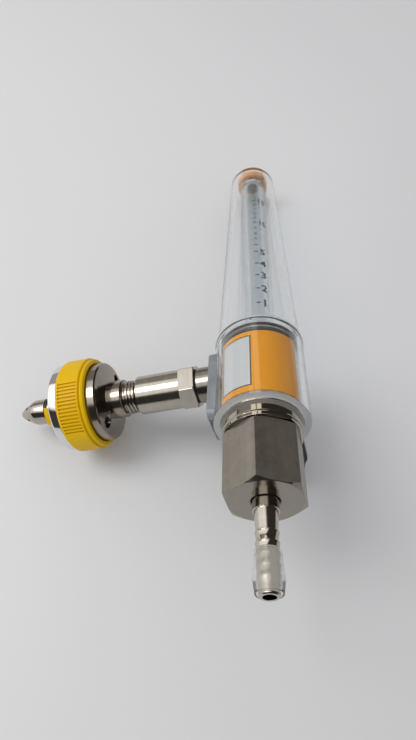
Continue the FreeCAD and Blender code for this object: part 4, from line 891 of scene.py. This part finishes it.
# Table
# The object lies on a pale table, touching it with the shroud's end, the knob and the grip
# ring. From behind, the table isn't seen.
TABLE_NORMAL = Vector((0.924, 0.315, 0.217)).normalized()
TABLE_DEPTH = 13.3
bpy.ops.mesh.primitive_plane_add(size=4, location=TABLE_NORMAL * TABLE_DEPTH * MM,
                                 rotation=(-TABLE_NORMAL).to_track_quat("Z", "Y").to_euler())
table = bpy.context.object
table.name = table.data.name = "table_top"
table_paint, table_tree, table_shader = start_material("table_paint", Roughness=0.55)
table_shader.inputs["Specular IOR Level"].default_value = 0.3
table_place = table_tree.nodes.new("ShaderNodeTexCoord")
table_cloud = table_tree.nodes.new("ShaderNodeTexNoise")
table_cloud.inputs["Scale"].default_value = 6
table_cloud.inputs["Detail"].default_value = 5
table_tree.links.new(table_place.outputs["Object"], table_cloud.inputs["Vector"])
# Painted shade: the table's colour is made darker towards one side, standing in for the light that falls off
# across the table.
table_shade_dot = table_tree.nodes.new("ShaderNodeVectorMath")
table_shade_dot.operation = "DOT_PRODUCT"
table_tree.links.new(table_place.outputs["Object"], table_shade_dot.inputs[0])
table_shade_dot.inputs[1].default_value = Vector((0.79, -0.55, -0.42)) * 4.0
painted_shade_amount = spread(table_tree, table_shade_dot.outputs["Value"], 0.0, 1.0)
pale = blend_colour(table_tree, table_cloud.outputs[0], (0.655, 0.66, 0.675), (0.685, 0.69, 0.705))
table_colour = blend_colour(table_tree, painted_shade_amount, pale, (0.565, 0.565, 0.58))
table_tree.links.new(table_colour, table_shader.inputs["Base Color"])
unseen = table_tree.nodes.new("ShaderNodeBsdfTransparent")
side = table_tree.nodes.new("ShaderNodeNewGeometry")
table_choose = table_tree.nodes.new("ShaderNodeMixShader")
table_tree.links.new(side.outputs["Backfacing"], table_choose.inputs[0])
table_tree.links.new(table_shader.outputs[0], table_choose.inputs[1])
table_tree.links.new(unseen.outputs[0], table_choose.inputs[2])
table_tree.links.new(table_choose.outputs[0], table_tree.nodes["Material Output"].inputs["Surface"])
table.data.materials.append(table_paint)

# Light
# A wide soft lamp above the object, and a room that its metal reflects: dark walls, a bright
# ceiling and one bright wall, a paler left wall, a barred window, and a dark patch behind the camera.
world = bpy.data.worlds.new("room")
bpy.context.scene.world = world
world.use_nodes = True
room = world.node_tree
background = room.nodes["Background"]
heading = room.nodes.new("ShaderNodeTexCoord")
VIEW_RIGHT = Vector((0.27262, -0.96149, 0.03474))
VIEW_DOWN = Vector((0.67687, 0.16601, -0.71714))
VIEW_FORWARD = Vector((0.68376, 0.21903, 0.69606))


def toward(direction):
    """How far the room's direction points along another, from -1 to 1."""
    dot = room.nodes.new("ShaderNodeVectorMath")
    dot.operation = "DOT_PRODUCT"
    room.links.new(heading.outputs["Generated"], dot.inputs[0])
    dot.inputs[1].default_value = direction.normalized()
    return dot.outputs["Value"]


def ramp_between(value, low, high):
    """0 below low, 1 above high, smooth between."""
    node = room.nodes.new("ShaderNodeMapRange")
    node.interpolation_type = "SMOOTHSTEP"
    room.links.new(value, node.inputs["Value"])
    node.inputs["From Min"].default_value = low
    node.inputs["From Max"].default_value = high
    return node.outputs[0]


CEILING = Vector((-0.969, 0.116, -0.215))
BEHIND_CAMERA = Vector((-0.15, 0.20, -0.97))
LEFT_WALL = Vector((-0.66, 0.33, 0.68))
BRIGHT_WALL = Vector((-0.72, 0.62, 0.30))
WINDOW = Vector((-0.756, 0.063, 0.652)).normalized()
BELOW = Vector((0, 0, -1))
ceiling = ramp_between(toward(CEILING), 0.75, 0.86)
dark_patch = ramp_between(toward(BEHIND_CAMERA), 0.80, 0.90)
left_wall = ramp_between(toward(LEFT_WALL), 0.88, 0.96)
bright_wall = join_math(room, "MULTIPLY", ramp_between(toward(BELOW), -0.46, -0.38),
                        ramp_between(toward(BRIGHT_WALL), 0.70, 0.80))
window = ramp_between(toward(WINDOW), 0.978, 0.986)
bar_side = toward(TABLE_NORMAL.cross(WINDOW))
bar = ramp_between(join_math(room, "ABSOLUTE", bar_side), 0.012, 0.03)
window = join_math(room, "MULTIPLY", window, bar)
walls = blend_colour(room, left_wall, (0.045, 0.038, 0.034), (0.34, 0.32, 0.30))
walls = blend_colour(room, dark_patch, walls, (0.05, 0.046, 0.044))
walls = blend_colour(room, window, walls, (1.25, 1.12, 0.95))
walls = blend_colour(room, bright_wall, walls, (1.2, 1.15, 1.1))
shown_room = blend_colour(room, ceiling, walls, (1.25, 1.24, 1.22))
camera_ray = room.nodes.new("ShaderNodeLightPath")
through_plastic = join_math(room, "GREATER_THAN", camera_ray.outputs["Transmission Depth"], 0.5)
plastic_veil = join_math(room, "MULTIPLY", through_plastic, 0.75)
shown_room = blend_colour(room, plastic_veil, shown_room, (0.72, 0.73, 0.74))
shown_room = blend_colour(room, camera_ray.outputs["Is Diffuse Ray"], shown_room, (0.64, 0.64, 0.645))
room.links.new(blend_colour(room, camera_ray.outputs["Is Camera Ray"], shown_room, (0.72, 0.72, 0.73)),
               background.inputs["Color"])
background.inputs["Strength"].default_value = 1.0

lamp_data = bpy.data.lights.new("window_lamp", "AREA")
lamp_data.shape = "RECTANGLE"
lamp_data.size = 0.6
lamp_data.size_y = 0.38
lamp_data.energy = 4.1
lamp_data.color = (1.0, 0.985, 0.96)
lamp = bpy.data.objects.new("window_lamp", lamp_data)
bpy.context.scene.collection.objects.link(lamp)
lamp.visible_transmission = False
lamp_from = Vector((-0.925, 0.335, -0.177)) * 0.93
lamp.location = Vector((0, -0.06, 0.02)) + lamp_from
lamp.rotation_euler = lamp_from.to_track_quat("Z", "Y").to_euler()

# Camera
# Close above the outlet, looking along the tube as the photograph does. Its place, its turn and
# its lens were fitted to the photograph.
camera_data = bpy.data.cameras.new("camera")
camera_data.sensor_width = 36
camera_data.lens = 27.05
camera_data.clip_start = 0.01
camera = bpy.data.objects.new("camera", camera_data)
bpy.context.scene.collection.objects.link(camera)
look = Matrix((VIEW_RIGHT, -VIEW_DOWN, -VIEW_FORWARD)).transposed()
camera.matrix_world = Matrix.Translation((-0.14067, -0.11057, -0.13587)) @ look.to_4x4()
bpy.context.scene.camera = camera
bpy.context.scene.view_settings.view_transform = "Standard"
